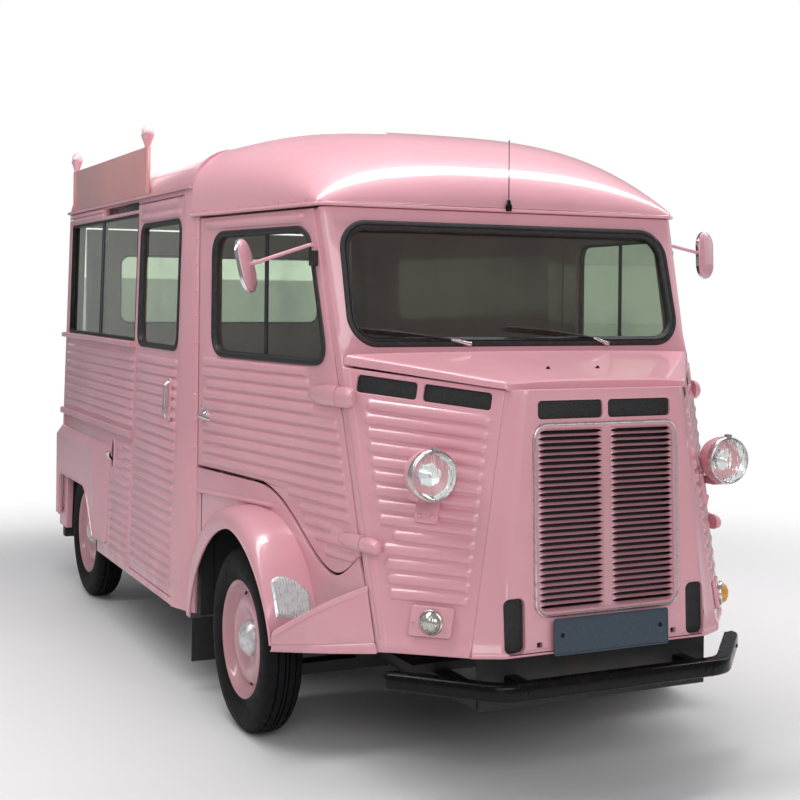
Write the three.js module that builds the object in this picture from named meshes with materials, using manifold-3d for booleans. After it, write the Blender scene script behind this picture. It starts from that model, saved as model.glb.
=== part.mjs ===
// A vintage corrugated food truck, in millimetres.
// The front faces -Y, the truck's own left is +X and +Z is up. While it is built, Y is measured from the
// foot of the nose panel; the finished group is moved so that its origin lies under the truck's middle.
// Paired pieces are built for the left side and mirrored for the right.
import * as THREE from "three";
import { mergeVertices } from "three/addons/utils/BufferGeometryUtils.js";
import Module from "manifold-3d";

// ---- Running gear ----
const FRONT_AXLE_Y = 1026;
const WHEELBASE = 2530;
const REAR_OVERHANG = 550; // rear axle to the outside of the rear wall
const TYRE_RADIUS = 338;
const TYRE_WIDTH = 145;
const RIM_RADIUS = 216; // over the rim's flange
const RIM_WIDTH = 116; // over both flanges
const TRACK_INSET = 78; // tyre's middle inside the cargo body's side
const STUB_RADIUS = 26;
const HUB_RADIUS = 62;
const KINGPIN_INSET = 118; // kingpin's axis inside the tyre's middle
const KNUCKLE_RADIUS = 24;
const KNUCKLE_HEIGHT = 210;

// ---- Cargo body ----
const CARGO_HALF = 929; // outside of the side wall at WIDTH_Z
const WIDTH_Z = 1000;
const TUMBLEHOME = 0.025; // how much the side leans in for each millimetre of height
const SIDE_WALL = 32;
const SILL_Z = 300;
const EAVES_Z = 2046;
const SIDE_RAIL_Z = 945; // middle of the outside rail
const SIDE_RAIL_HEIGHT = 34;
const SIDE_RAIL_DEPTH = 30;
const CORNER_POST = 88; // width of the rear corner post
const ROOF_CORNER_RADIUS = 164;
const ROOF_CORNER_ANGLE = 72; // degrees of the corner arc, before the flatter crown
const ROOF_SKIN = 30;
const GUTTER = 16;
const GUTTER_HEIGHT = 14;

// ---- Corrugation ----
const BEAD_PITCH = 44;
const BEAD_WIDTH = 34;
const BEAD_HEIGHT = 8;
const BEAD_ROOT = 1; // how deep a bead's foot is sunk into its panel
const BEAD_MARGIN = 24; // plain border between the beads' ends and a panel's edge

// ---- Cab ----
const CAB_FRONT_INSET = 281; // cab side at Y = 0, inside the cargo side
const CAB_TAPER = 0.148; // how much the cab side widens for each millimetre rearwards
const A_POST_Y = 143; // windscreen plane at ground height
const RAKE = 0.28; // how much the windscreen plane leans back for each millimetre of height
const A_POST_DEPTH = 46;
const A_POST_WIDTH = 34;
const HEADER_Z = 1925;
const CAB_REAR_Y = 1650; // rear edge of the cab door
const PILLAR_REAR_Y = 1825;
const DOOR_THICKNESS = 38;
const DOOR_FOOT_Z = 905;
const DOOR_TOE_Z = 652; // the door's lowest edge, ahead of the wheel
const DOOR_TOE_Y = 560;
const DOOR_GAP = 9; // between the door and the fender below it
const DOOR_TOE_RISE = 86; // the foot slants up to the A-post by this much
const DOOR_STEP_Y = 1130; // where the door's foot starts to drop
const CAB_ROOF_REAR_Y = 1705;
const CAB_CROWN_Z = 2296;
const CAB_ROOF_RUN = 920; // length over which the roof rises from the header to its crown

// ---- Nose ----
const NOSE_TOP_Z = 1312;
const NOSE_FOOT_Z = 462;
const NOSE_TOP_HALF = 347;
const NOSE_FOOT_HALF = 484;
const NOSE_FOOT_Y = -28;
const NOSE_LEAN = 34; // how far the top edge lies behind the foot
const NOSE_RETURN = 52; // how far the panel's side edges are swept back
const NOSE_RETURN_TOP = 40; // width of the swept border at the top
const NOSE_RETURN_FOOT = 92; // and at the foot
const NOSE_SKIN = 24;
const CHEEK_SKIN = 26;
const GRILLE_HALF = 276;
const GRILLE_FOOT_Z = 592;
const GRILLE_TOP_Z = 1180;
const GRILLE_CORNER = 34;
const GRILLE_FRAME = 16;
const GRILLE_BAR = 34; // the bar down the middle
const SLAT_COUNT = 29;
const SLAT_DEPTH = 15;
const SLAT_DROP = 11;
const SLAT_THICKNESS = 2.4;
const CHEEK_FOOT_Z = 446;
const SCUTTLE_Z = 1392; // where the bonnet's rear edge meets the windscreen's foot
const BONNET_SKIN = 18;

// ---- Windows ----
const WINDSCREEN_HALF = 676;
const WINDSCREEN_FOOT_Z = 1448;
const WINDSCREEN_TOP_Z = 1858;
const WINDSCREEN_CORNER = 92;
const DOOR_WINDOW_FOOT_Z = 1372;
const DOOR_WINDOW_TOP_Z = 1846;
const DOOR_WINDOW_REAR_Y = 1508;
const DOOR_WINDOW_FRONT = 104; // window's front edge behind the A-post line
const DOOR_WINDOW_CORNER = 70;
const GLASS = 5;
const GLASS_INSET = 12; // glass plane inside the panel's outer face
const SLIDE_REAR_Y = 2540;
const SLIDE_WINDOW_FOOT_Z = 1362;
const SLIDE_WINDOW_TOP_Z = 1940;
const SLIDE_WINDOW_BORDER = 42;
const SLIDE_WINDOW_CORNER = 55;
const SERVING_FOOT_Z = 1384;
const SERVING_TOP_Z = 1984;
const SERVING_BORDER = 34;

// ---- Rear ----
const TAILGATE_FOOT_Z = 1180;
const TAILGATE_TOP_Z = 1968;
const REAR_DOOR_FOOT_Z = 396;
const REAR_SKIN = 34;

// ---- Fenders, floor and fittings ----
// The wheel opening and the flare's outline are ovals about one middle: reach ahead and behind, rise, and the
// exponents of the front and rear quarters.
const ARCH_Y = FRONT_AXLE_Y + 74;
const ARCH_Z = 300;
const OPENING = { ahead: 485, behind: 495, rise: 437, powerAhead: 1.8, powerBehind: 1.7 };
const FLARE = { ahead: 465, behind: 580, rise: 540, powerAhead: 2.3, powerBehind: 2.1 };
const FLARE_END = 0.9; // the flare ends above the opening's front foot
const FLARE_X = 8; // flare's lip outside the cargo side
const FLARE_SKIN = 12;
const FAIRING_OUT = 40; // rear wheel fairing outside the cargo side
const FAIRING_TOP_Z = 858;
const FAIRING_BEVEL_Z = 812; // where the top's bevel starts
const FAIRING_FRONT_Y = 2985;
const FAIRING_FLAT_Y = 3185; // where the slanted front ends
const FAIRING_FOOT_Z = 366;
const REAR_ARCH_Z = 606; // top of the fairing's wheel opening
const BODY_ARCH_Z = 704; // top of the opening in the body side behind it
const REAR_ARCH_HALF = 372;
const FLOOR_Z = 372;
const FLOOR_SKIN = 30;
const CAB_FLOOR_Z = 776;
const BUMPER_Y = -112;
const BUMPER_Z = 371;
const BUMPER_HEIGHT = 54;
const BUMPER_DEPTH = 48;
const BUMPER_HALF = 436;
const BUMPER_WING_X = 277; // each wing's reach sideways beyond the bend
const BUMPER_WING_Y = 300; // and rearwards

// ---- Clearances ----
const FIT = 0.3; // between pieces that touch
const FLATNESS = 0.05; // facets that a cut leaves nearly in one plane are merged
const SHUT = 7; // round doors and lids

const REAR_AXLE_Y = FRONT_AXLE_Y + WHEELBASE;
const REAR_Y = REAR_AXLE_Y + REAR_OVERHANG;
const TRACK_HALF = CARGO_HALF - TRACK_INSET;
const KINGPIN_X = TRACK_HALF - KINGPIN_INSET;
const TAIL_REACH = 46; // rear bumper irons beyond the rear wall
const CENTRE_Y = (BUMPER_Y + REAR_Y + TAIL_REACH) / 2;

// The cargo side's outer face at a height, the windscreen plane's Y, and the cab side at a Y.
const sideX = (z) => CARGO_HALF + TUMBLEHOME * (WIDTH_Z - z);
const screenY = (z) => A_POST_Y + RAKE * z;
const CAB_FRONT_X = CARGO_HALF - CAB_FRONT_INSET;
const cabX = (y) => CAB_FRONT_X + CAB_TAPER * y;

// ---- Solids ----
const wasm = await Module();
wasm.setup();
const X = new THREE.Vector3(1, 0, 0);
const Y = new THREE.Vector3(0, 1, 0);
const Z = new THREE.Vector3(0, 0, 1);
const point = (x, y, z) => new THREE.Vector3(x, y, z);

// A closed three.js geometry as a solid that can be joined and cut.
function solid(geometry) {
  const bare = geometry.clone();
  bare.deleteAttribute("normal");
  bare.deleteAttribute("uv");
  const merged = mergeVertices(bare, 1e-3);
  const vertProperties = new Float32Array(merged.attributes.position.array);
  const triVerts = new Uint32Array(merged.index.array);
  return new wasm.Manifold(new wasm.Mesh({ numProp: 3, vertProperties, triVerts }));
}

// The solid's surface as a three.js geometry.
function surface(made) {
  const mesh = made.getMesh();
  const geometry = new THREE.BufferGeometry();
  geometry.setAttribute("position", new THREE.BufferAttribute(mesh.vertProperties, mesh.numProp));
  geometry.setIndex(new THREE.BufferAttribute(mesh.triVerts, 1));
  return geometry;
}

const join = (...parts) => parts.reduce((whole, part) => whole.add(part));
const cut = (whole, ...parts) => parts.reduce((rest, part) => rest.subtract(part), whole);

function box(x0, x1, y0, y1, z0, z1) {
  const geometry = new THREE.BoxGeometry(x1 - x0, y1 - y0, z1 - z0);
  geometry.translate((x0 + x1) / 2, (y0 + y1) / 2, (z0 + z1) / 2);
  return solid(geometry);
}

const outline = (pairs) => new THREE.Shape(pairs.map(([a, b]) => new THREE.Vector2(a, b)));

// A shape pushed along the third axis of a frame: right and up carry the shape, out is the push.
function push(shape, origin, right, up, from, to, curveSegments = 3) {
  const out = right.clone().cross(up);
  const geometry = new THREE.ExtrudeGeometry(shape, {
    depth: to - from,
    bevelEnabled: false,
    curveSegments,
  });
  geometry.translate(0, 0, from);
  geometry.applyMatrix4(new THREE.Matrix4().makeBasis(right, up, out).setPosition(origin));
  return solid(geometry);
}

const ORIGIN = point(0, 0, 0);
const pushX = (shape, from, to, steps) => push(shape, ORIGIN, Y, Z, from, to, steps);
const pushZ = (shape, from, to, steps) => push(shape, ORIGIN, X, Y, from, to, steps);
// Along Y the frame's third axis points forwards, so the ends change sign.
const pushY = (shape, from, to, steps) => push(shape, ORIGIN, X, Z, -to, -from, steps);

// A rectangle with rounded corners, from its lowest to its highest corner.
function rounded(a0, b0, a1, b1, r) {
  const shape = new THREE.Shape();
  shape.moveTo(a0 + r, b0);
  shape.lineTo(a1 - r, b0);
  shape.absarc(a1 - r, b0 + r, r, -Math.PI / 2, 0);
  shape.lineTo(a1, b1 - r);
  shape.absarc(a1 - r, b1 - r, r, 0, Math.PI / 2);
  shape.lineTo(a0 + r, b1);
  shape.absarc(a0 + r, b1 - r, r, Math.PI / 2, Math.PI);
  shape.lineTo(a0, b0 + r);
  shape.absarc(a0 + r, b0 + r, r, Math.PI, Math.PI * 1.5);
  return shape;
}

// A polygon whose corners are rounded by quadratic curves.
function softPolygon(corners, r) {
  const shape = new THREE.Shape();
  const at = corners.map(([a, b]) => new THREE.Vector2(a, b));
  at.forEach((corner, k) => {
    const before = at[(k + at.length - 1) % at.length];
    const after = at[(k + 1) % at.length];
    const entry = corner.clone().add(before.clone().sub(corner).setLength(r));
    const exit = corner.clone().add(after.clone().sub(corner).setLength(r));
    if (k === 0) shape.moveTo(entry.x, entry.y);
    else shape.lineTo(entry.x, entry.y);
    shape.quadraticCurveTo(corner.x, corner.y, exit.x, exit.y);
  });
  shape.closePath();
  return shape;
}

// A body through rings of points, each ring with as many points. A ring runs out along one flank and back
// along the other, so each end is closed by a strip between the two flanks.
function loft(rings) {
  const count = rings[0].length;
  const index = [];
  for (let k = 0; k + 1 < rings.length; k++) {
    for (let i = 0; i < count; i++) {
      const a = k * count + i;
      const b = k * count + ((i + 1) % count);
      index.push(a, b, b + count, a, b + count, a + count);
    }
  }
  const last = (rings.length - 1) * count;
  for (let i = 0; i + 1 < count - 1 - i; i++) {
    const far = count - 1 - i;
    index.push(i, far, i + 1, last + i, last + i + 1, last + far);
    if (i + 1 < far - 1) index.push(i + 1, far, far - 1, last + i + 1, last + far - 1, last + far);
  }
  const at = rings.flat();
  let sum = 0;
  for (let i = 0; i < index.length; i += 3) {
    sum += at[index[i]].dot(at[index[i + 1]].clone().cross(at[index[i + 2]]));
  }
  if (sum < 0) index.reverse();
  const geometry = new THREE.BufferGeometry().setFromPoints(at);
  geometry.setIndex(index);
  return solid(geometry);
}

// A body of revolution about X: the profile's pairs are [distance along X, radius], from axis to axis.
function turn(profile, x, y, z, segments) {
  const geometry = new THREE.LatheGeometry(
    profile.map(([along, radius]) => new THREE.Vector2(radius, along)),
    segments,
  );
  geometry.rotateZ(-Math.PI / 2);
  geometry.translate(x, y, z);
  return solid(geometry);
}

// ---- The scene graph ----
const truck = new THREE.Group();
truck.position.y = -CENTRE_Y;

const PINK = new THREE.MeshStandardMaterial({ color: 0xd98f96, roughness: 0.32, metalness: 0 });
const BLACK = new THREE.MeshStandardMaterial({ color: 0x17171a, roughness: 0.5, metalness: 0.1 });
const CHROME = new THREE.MeshStandardMaterial({ color: 0xd8dadc, roughness: 0.18, metalness: 1 });
const RUBBER = new THREE.MeshStandardMaterial({ color: 0x1b1b1c, roughness: 0.85, metalness: 0 });
const GLASSY = new THREE.MeshStandardMaterial({ color: 0xa9bdb5, roughness: 0.05, metalness: 0 });
const IRON = new THREE.MeshStandardMaterial({ color: 0x3a3a3b, roughness: 0.7, metalness: 0.6 });
const LEATHER = new THREE.MeshStandardMaterial({ color: 0x2a2b2f, roughness: 0.7, metalness: 0 });
const ALUMINIUM = new THREE.MeshStandardMaterial({ color: 0xb9bcc0, roughness: 0.4, metalness: 0.9 });

function add(name, made, material) {
  const mesh = new THREE.Mesh(surface(made.asOriginal().simplify(FLATNESS)), material.clone());
  mesh.name = name;
  truck.add(mesh);
  return mesh;
}

// The same piece on both sides.
function pair(name, made, material) {
  add(name + "_left", made, material);
  add(name + "_right", made, material).scale.x = -1;
}

// ---- Corrugation ----
// A wavy strip in a [out, up] frame between two heights; its beads are shallow arcs.
function wavy(low, high, back) {
  const count = Math.floor((high - low - 2 * BEAD_MARGIN + BEAD_PITCH - BEAD_WIDTH) / BEAD_PITCH);
  const start = (low + high - (count - 1) * BEAD_PITCH) / 2;
  const pairs = [[back, start - BEAD_WIDTH]];
  for (let k = 0; k < count; k++) {
    const z = start + k * BEAD_PITCH;
    pairs.push([-BEAD_ROOT, z - BEAD_WIDTH / 2 - 1]);
    pairs.push([BEAD_HEIGHT, z - BEAD_WIDTH / 5]);
    pairs.push([BEAD_HEIGHT, z + BEAD_WIDTH / 5]);
    pairs.push([-BEAD_ROOT, z + BEAD_WIDTH / 2 + 1]);
  }
  pairs.push([back, start + (count - 1) * BEAD_PITCH + BEAD_WIDTH]);
  return pairs;
}

// ---- Wheels ----
// Tyre section, as [distance from the tyre's middle, radius].
const SHOULDER = TYRE_WIDTH / 2;
const BEAD_SEAT = RIM_RADIUS - 18;
const BEAD_X = RIM_WIDTH / 2 - 10; // outside of the tyre's bead
const TYRE_FLANK = [
  [BEAD_X, BEAD_SEAT],
  [BEAD_X, RIM_RADIUS + 6],
  [SHOULDER, (RIM_RADIUS + TYRE_RADIUS) / 2],
  [SHOULDER - 10, TYRE_RADIUS - 34],
  [SHOULDER - 30, TYRE_RADIUS],
];
const WHEEL_SEGMENTS = 18;
const DISC_X = 14; // wheel disc outside the tyre's middle
const DISC_SKIN = 8;
const BARREL = BEAD_SEAT - FIT;
const WELL = BARREL - 9; // inside of the rim's barrel
const CAP_RADIUS = 58;
// Rim section from the axis and back to it: outer face first.
const RIM_PROFILE = [
  [DISC_X + 46, 0],
  [DISC_X + 38, CAP_RADIUS * 0.7],
  [DISC_X + 6, CAP_RADIUS],
  [DISC_X, WELL - 36],
  [DISC_X - 10, WELL],
  [RIM_WIDTH / 2 - 8, WELL],
  [RIM_WIDTH / 2, RIM_RADIUS],
  [BEAD_X + FIT, RIM_RADIUS],
  [BEAD_X + FIT, BARREL],
  [-BEAD_X - FIT, BARREL],
  [-BEAD_X - FIT, RIM_RADIUS],
  [-RIM_WIDTH / 2, RIM_RADIUS],
  [-RIM_WIDTH / 2 + 8, WELL],
  [DISC_X - 22, WELL],
  [DISC_X - DISC_SKIN, WELL - 38],
  [DISC_X - DISC_SKIN, HUB_RADIUS],
  [DISC_X - 26, HUB_RADIUS],
  [DISC_X - 26, 0],
];

function wheels() {
  const axles = [
    { end: "front", y: FRONT_AXLE_Y },
    { end: "rear", y: REAR_AXLE_Y },
  ];
  axles.forEach(({ end, y }) => {
    const inner = TYRE_FLANK.map(([x, r]) => [-x, r]);
    const section = [...inner, ...TYRE_FLANK.toReversed(), inner[0]];
    const tyre = turn(section, TRACK_HALF, y, TYRE_RADIUS, WHEEL_SEGMENTS);
    const rim = turn(RIM_PROFILE.toReversed(), TRACK_HALF, y, TYRE_RADIUS, WHEEL_SEGMENTS);
    pair(`tyre_${end}`, tyre, RUBBER);
    pair(`wheel_${end}`, rim, PINK);
  });
}

// A round bar along X with flat ends.
const barX = (x0, x1, y, z, r, segments = 10) =>
  turn([[x0, 0], [x0, r], [x1, r], [x1, 0]], 0, y, z, segments);

function upright(x, y, z0, z1, r, segments = 10) {
  const geometry = new THREE.CylinderGeometry(r, r, z1 - z0, segments);
  geometry.rotateX(Math.PI / 2);
  geometry.translate(x, y, (z0 + z1) / 2);
  return solid(geometry);
}

const HUB_BACK_X = TRACK_HALF + DISC_X - 26 - FIT;

// Each knuckle is a kingpin post with its stub axle.
function knuckles() {
  const post = upright(
    KINGPIN_X,
    FRONT_AXLE_Y,
    TYRE_RADIUS - KNUCKLE_HEIGHT / 2,
    TYRE_RADIUS + KNUCKLE_HEIGHT / 2,
    KNUCKLE_RADIUS,
  );
  const stub = barX(KINGPIN_X, HUB_BACK_X, FRONT_AXLE_Y, TYRE_RADIUS, STUB_RADIUS);
  const steeringArm = box(
    KINGPIN_X - 14,
    KINGPIN_X + 14,
    FRONT_AXLE_Y,
    FRONT_AXLE_Y + 130,
    TYRE_RADIUS - 60,
    TYRE_RADIUS - 42,
  );
  pair("knuckle", join(post, stub, steeringArm), IRON);
}

const ARM_PIVOT_Y = REAR_AXLE_Y - 480;
const ARM_HALF = 14;
const ARM_X = TRACK_HALF - TYRE_WIDTH / 2 - 8 - ARM_HALF;
const CROSS_TUBE_RADIUS = 46;

// Trailing arms on a cross tube, with a stub axle each.
function rearAxle() {
  const tubeZ = FLOOR_Z - FLOOR_SKIN - BEAM_HEIGHT - CROSS_TUBE_RADIUS - FIT;
  const tube = barX(-ARM_X, ARM_X, ARM_PIVOT_Y, tubeZ, CROSS_TUBE_RADIUS);
  const armShape = outline([
    [ARM_PIVOT_Y - 50, tubeZ - 40],
    [ARM_PIVOT_Y - 50, tubeZ + 40],
    [REAR_AXLE_Y + 40, TYRE_RADIUS + 36],
    [REAR_AXLE_Y + 40, TYRE_RADIUS - 36],
  ]);
  const arms = [-1, 1].map((side) => {
    const x = side * ARM_X;
    const reach = side * HUB_BACK_X;
    const stub = barX(Math.min(x, reach), Math.max(x, reach), REAR_AXLE_Y, TYRE_RADIUS, STUB_RADIUS);
    return join(pushX(armShape, x - ARM_HALF, x + ARM_HALF), stub);
  });
  add("rear_axle", join(tube, ...arms), IRON);
}

// ---- Platform ----
const BEAM_X = 430; // longerons
const BEAM_WIDTH = 70;
const BEAM_HEIGHT = 60;
const BEAM_FRONT_Y = 240;
const UNDER_Z = FLOOR_Z - FLOOR_SKIN;
const BEAM_FOOT_Z = UNDER_Z - BEAM_HEIGHT;
const FOOTWELL_FRONT_Y = 330;
const WELL_INNER_X = KINGPIN_X - 190; // inner wall of the front wheel housings
const WELL_FRONT_Y = FRONT_AXLE_Y - 420;
const WELL_REAR_Y = FRONT_AXLE_Y + 560;
const WELL_FOOT_Z = 480; // foot of the housing's front wall
const WELL_GAP = 14; // between a housing and the cab door
const SEAT_BOX_X = 270; // inner side of the boxes that carry the seats
const SEAT_BOX_Y = 1190;
const REAR_WELL_HALF = 390;
const REAR_WELL_X = TRACK_HALF - 150;
const REAR_WELL_TOP = 2 * TYRE_RADIUS + 80;
const PLATE = 14;
const BRACKET_Y = 40; // black valance under the nose, which carries the bumper
const BRACKET_HALF = 440;
const BRACKET_DEPTH = 30;
const BRACKET_ARM_X = 395;
const VALANCE_TOP_Z = NOSE_FOOT_Z - 14;
const POST_INSET = 5; // cross member's posts, inside the longerons' sides
const FLAP = { inner: 785, step: 830, outer: 925, foot: 120, shoulder: 294, thickness: 8 }; // mud flap
const MEMBER_HALF = 38; // front cross member, half its width
const MEMBER_Z = 190;
const MEMBER_HEIGHT = 42;
const FORK_HALF = 30;
const FORK_SKIN = 26;
const REAR_IRON = { x: 700, half: 120, low: 334, high: 384 };
const AISLE = { right: -470, left: 690, front: 1860, rear: 4050, thickness: 6 }; // floor board

const bothSides = (made) => join(made, made.mirror([1, 0, 0]));

// Load floor on its longerons, with the front cross member and the rear bumper irons.
function platform() {
  const floorX = sideX(REAR_WELL_TOP) - SIDE_WALL - FIT;
  const wallY = REAR_Y - REAR_SKIN;
  const floors = join(
    box(-floorX, floorX, PILLAR_REAR_Y, wallY - 2, UNDER_Z, FLOOR_Z),
    box(AISLE.right, AISLE.left, AISLE.front, AISLE.rear, FLOOR_Z - 1, FLOOR_Z + AISLE.thickness),
  );
  const sillX = sideX(REAR_DOOR_FOOT_Z) - CORNER_POST - FIT;
  const rearSill = box(-sillX, sillX, wallY - 2, REAR_Y - 2, SILL_Z, REAR_DOOR_FOOT_Z - SHUT);
  const beamX = BEAM_X - BEAM_WIDTH / 2;
  const beam = box(beamX, beamX + BEAM_WIDTH, BEAM_FRONT_Y, wallY, BEAM_FOOT_Z, UNDER_Z - FIT);
  const cleat = box(beamX, beamX + BEAM_WIDTH, PILLAR_REAR_Y + 40, wallY, UNDER_Z - 1, UNDER_Z + 1);
  const post = box(
    beamX + POST_INSET,
    beamX + BEAM_WIDTH - POST_INSET,
    FRONT_AXLE_Y - MEMBER_HALF,
    FRONT_AXLE_Y + MEMBER_HALF,
    MEMBER_Z + 10,
    BEAM_FOOT_Z + 1,
  );
  const forkX = KINGPIN_X + KNUCKLE_RADIUS;
  const crossMember = box(
    -forkX,
    forkX,
    FRONT_AXLE_Y - MEMBER_HALF,
    FRONT_AXLE_Y + MEMBER_HALF,
    MEMBER_Z,
    MEMBER_Z + MEMBER_HEIGHT,
  );
  const iron = box(
    REAR_IRON.x - REAR_IRON.half,
    REAR_IRON.x + REAR_IRON.half,
    REAR_Y - 30,
    REAR_Y + TAIL_REACH,
    REAR_IRON.low,
    REAR_IRON.high,
  );
  const wheelGap = box(
    REAR_WELL_X,
    floorX + 50,
    REAR_AXLE_Y - REAR_WELL_HALF,
    REAR_AXLE_Y + REAR_WELL_HALF,
    UNDER_Z - 10,
    FLOOR_Z + 10,
  );
  const made = join(floors, rearSill, crossMember, bothSides(join(beam, cleat, post)));
  add("platform", join(cut(made, bothSides(wheelGap)), bothSides(iron)), IRON);
}

// Cab floor between the wheel housings, with the two boxes that carry the seats.
function cabFloor() {
  const pillarX = cabX(CAB_REAR_Y) - DOOR_THICKNESS - FIT;
  const footwellX = WELL_INNER_X - FIT;
  const rear = WELL_REAR_Y + PLATE + FIT;
  const made = join(
    box(-pillarX, pillarX, rear, PILLAR_REAR_Y - FIT, UNDER_Z, FLOOR_Z),
    box(-footwellX, footwellX, FOOTWELL_FRONT_Y, rear + 4, UNDER_Z, FLOOR_Z),
    bothSides(box(SEAT_BOX_X, footwellX, SEAT_BOX_Y, CAB_REAR_Y, FLOOR_Z - 4, CAB_FLOOR_Z)),
  );
  add("cab_floor", made, IRON);
}

// Each front housing: a wall, a lid and two ends round the wheel, with the kingpin's upper fork and the rubber
// mud flap at its rear foot.
function frontHousings() {
  const outX = (y) => cabX(y) - DOOR_THICKNESS - WELL_GAP;
  const rear = WELL_REAR_Y + PLATE;
  const forkX = KINGPIN_X + KNUCKLE_RADIUS;
  const forkZ = TYRE_RADIUS + KNUCKLE_HEIGHT / 2 + FIT; // bearing over each kingpin
  const lid = outline([
    [WELL_INNER_X, WELL_FRONT_Y],
    [outX(WELL_FRONT_Y), WELL_FRONT_Y],
    [outX(rear), rear],
    [WELL_INNER_X, rear],
  ]);
  const made = join(
    box(WELL_INNER_X, WELL_INNER_X + PLATE, WELL_FRONT_Y, rear, UNDER_Z, CAB_FLOOR_Z),
    pushZ(lid, CAB_FLOOR_Z - PLATE, CAB_FLOOR_Z),
    box(WELL_INNER_X, outX(WELL_FRONT_Y), WELL_FRONT_Y, WELL_FRONT_Y + PLATE, WELL_FOOT_Z, CAB_FLOOR_Z),
    box(WELL_INNER_X, outX(WELL_REAR_Y), WELL_REAR_Y, rear, UNDER_Z, CAB_FLOOR_Z),
    box(WELL_INNER_X, forkX, FRONT_AXLE_Y - FORK_HALF, FRONT_AXLE_Y + FORK_HALF, forkZ, forkZ + FORK_SKIN),
    box(FLAP.inner, FLAP.step, WELL_REAR_Y + 2, WELL_REAR_Y + 2 + FLAP.thickness, FLAP.foot, UNDER_Z + 4),
    box(FLAP.inner, FLAP.outer, WELL_REAR_Y + 2, WELL_REAR_Y + 2 + FLAP.thickness, FLAP.foot, FLAP.shoulder),
  );
  pair("front_housing", made, IRON);
}

// Each rear housing: a box over the wheel, open below and to the outside.
function rearHousings() {
  const outX = sideX(REAR_WELL_TOP) - SIDE_WALL - FIT;
  const front = REAR_AXLE_Y - REAR_WELL_HALF + FIT;
  const rear = REAR_AXLE_Y + REAR_WELL_HALF - FIT;
  const block = box(REAR_WELL_X + FIT, outX, front, rear, UNDER_Z, REAR_WELL_TOP);
  const hollow = box(REAR_WELL_X + PLATE, outX + 50, front + PLATE, rear - PLATE, 0, REAR_WELL_TOP - PLATE);
  pair("rear_housing", cut(block, hollow), IRON);
}

// Black valance under the nose with its two arms back to the longerons.
function valance() {
  const plate = box(-BRACKET_HALF, BRACKET_HALF, BRACKET_Y, BRACKET_Y + BRACKET_DEPTH, BEAM_FOOT_Z, VALANCE_TOP_Z);
  const armEnd = BEAM_FRONT_Y - FIT;
  const arm = box(BRACKET_ARM_X, BRACKET_ARM_X + 50, BRACKET_Y + 20, armEnd, BEAM_FOOT_Z, UNDER_Z - FIT);
  add("front_valance", join(plate, bothSides(arm)), IRON);
}

// The engine and gearbox, as one plain block on the footwell between the front wheels.
function engine() {
  const made = box(-190, 190, 350, 1000, FLOOR_Z + FIT, 960);
  add("engine_block", made, IRON);
}

// ---- Nose ----
const NOSE_HEIGHT = NOSE_TOP_Z - NOSE_FOOT_Z;
const noseY = (z) => NOSE_FOOT_Y + (NOSE_LEAN * (z - NOSE_FOOT_Z)) / NOSE_HEIGHT;
const noseHalf = (z) => NOSE_FOOT_HALF - ((NOSE_FOOT_HALF - NOSE_TOP_HALF) * (z - NOSE_FOOT_Z)) / NOSE_HEIGHT;
const NOSE_UP = point(0, NOSE_LEAN, NOSE_HEIGHT).normalize();
const NOSE_FOOT = point(0, NOSE_FOOT_Y, 0).addScaledVector(Y, (-NOSE_LEAN * NOSE_FOOT_Z) / NOSE_HEIGHT);
const noseUp = (z) => z / NOSE_UP.z;

// A shape on the nose panel's plane, measured by X and height, pushed from outside to inside by depths.
function pushNose(makeShape, outside, inside) {
  return push(makeShape(noseUp), NOSE_FOOT, X, NOSE_UP, -inside, -outside);
}

function nosePanel() {
  const rings = [NOSE_FOOT_Z, NOSE_TOP_Z].map((z) => {
    const share = (z - NOSE_FOOT_Z) / NOSE_HEIGHT;
    const half = noseHalf(z);
    const bend = half - NOSE_RETURN_FOOT + (NOSE_RETURN_FOOT - NOSE_RETURN_TOP) * share;
    const y = noseY(z);
    return [
      point(-half, y + NOSE_RETURN, z),
      point(-bend, y, z),
      point(bend, y, z),
      point(half, y + NOSE_RETURN, z),
      point(half, y + NOSE_RETURN + NOSE_SKIN, z),
      point(bend - 8, y + NOSE_SKIN, z),
      point(-bend + 8, y + NOSE_SKIN, z),
      point(-half, y + NOSE_RETURN + NOSE_SKIN, z),
    ];
  });
  const plate = loft(rings);
  const opening = pushNose(
    (up) => rounded(-GRILLE_HALF, up(GRILLE_FOOT_Z), GRILLE_HALF, up(GRILLE_TOP_Z), GRILLE_CORNER),
    -10,
    NOSE_SKIN + 10,
  );
  const topVents = [-1, 1].map((side) =>
    pushNose(
      (up) => {
        const edges = [side * 12, side * (GRILLE_HALF - 16)].sort((a, b) => a - b);
        return rounded(edges[0], up(1212), edges[1], up(1270), 12);
      },
      -5,
      10,
    ),
  );
  const lowVents = [-1, 1].map((side) =>
    pushNose((up) => rounded(side * 350 - 36, up(478), side * 350 + 36, up(632), 20), -5, 10),
  );
  add("nose_panel", cut(plate, opening, ...topVents, ...lowVents), PINK);
}

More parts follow.
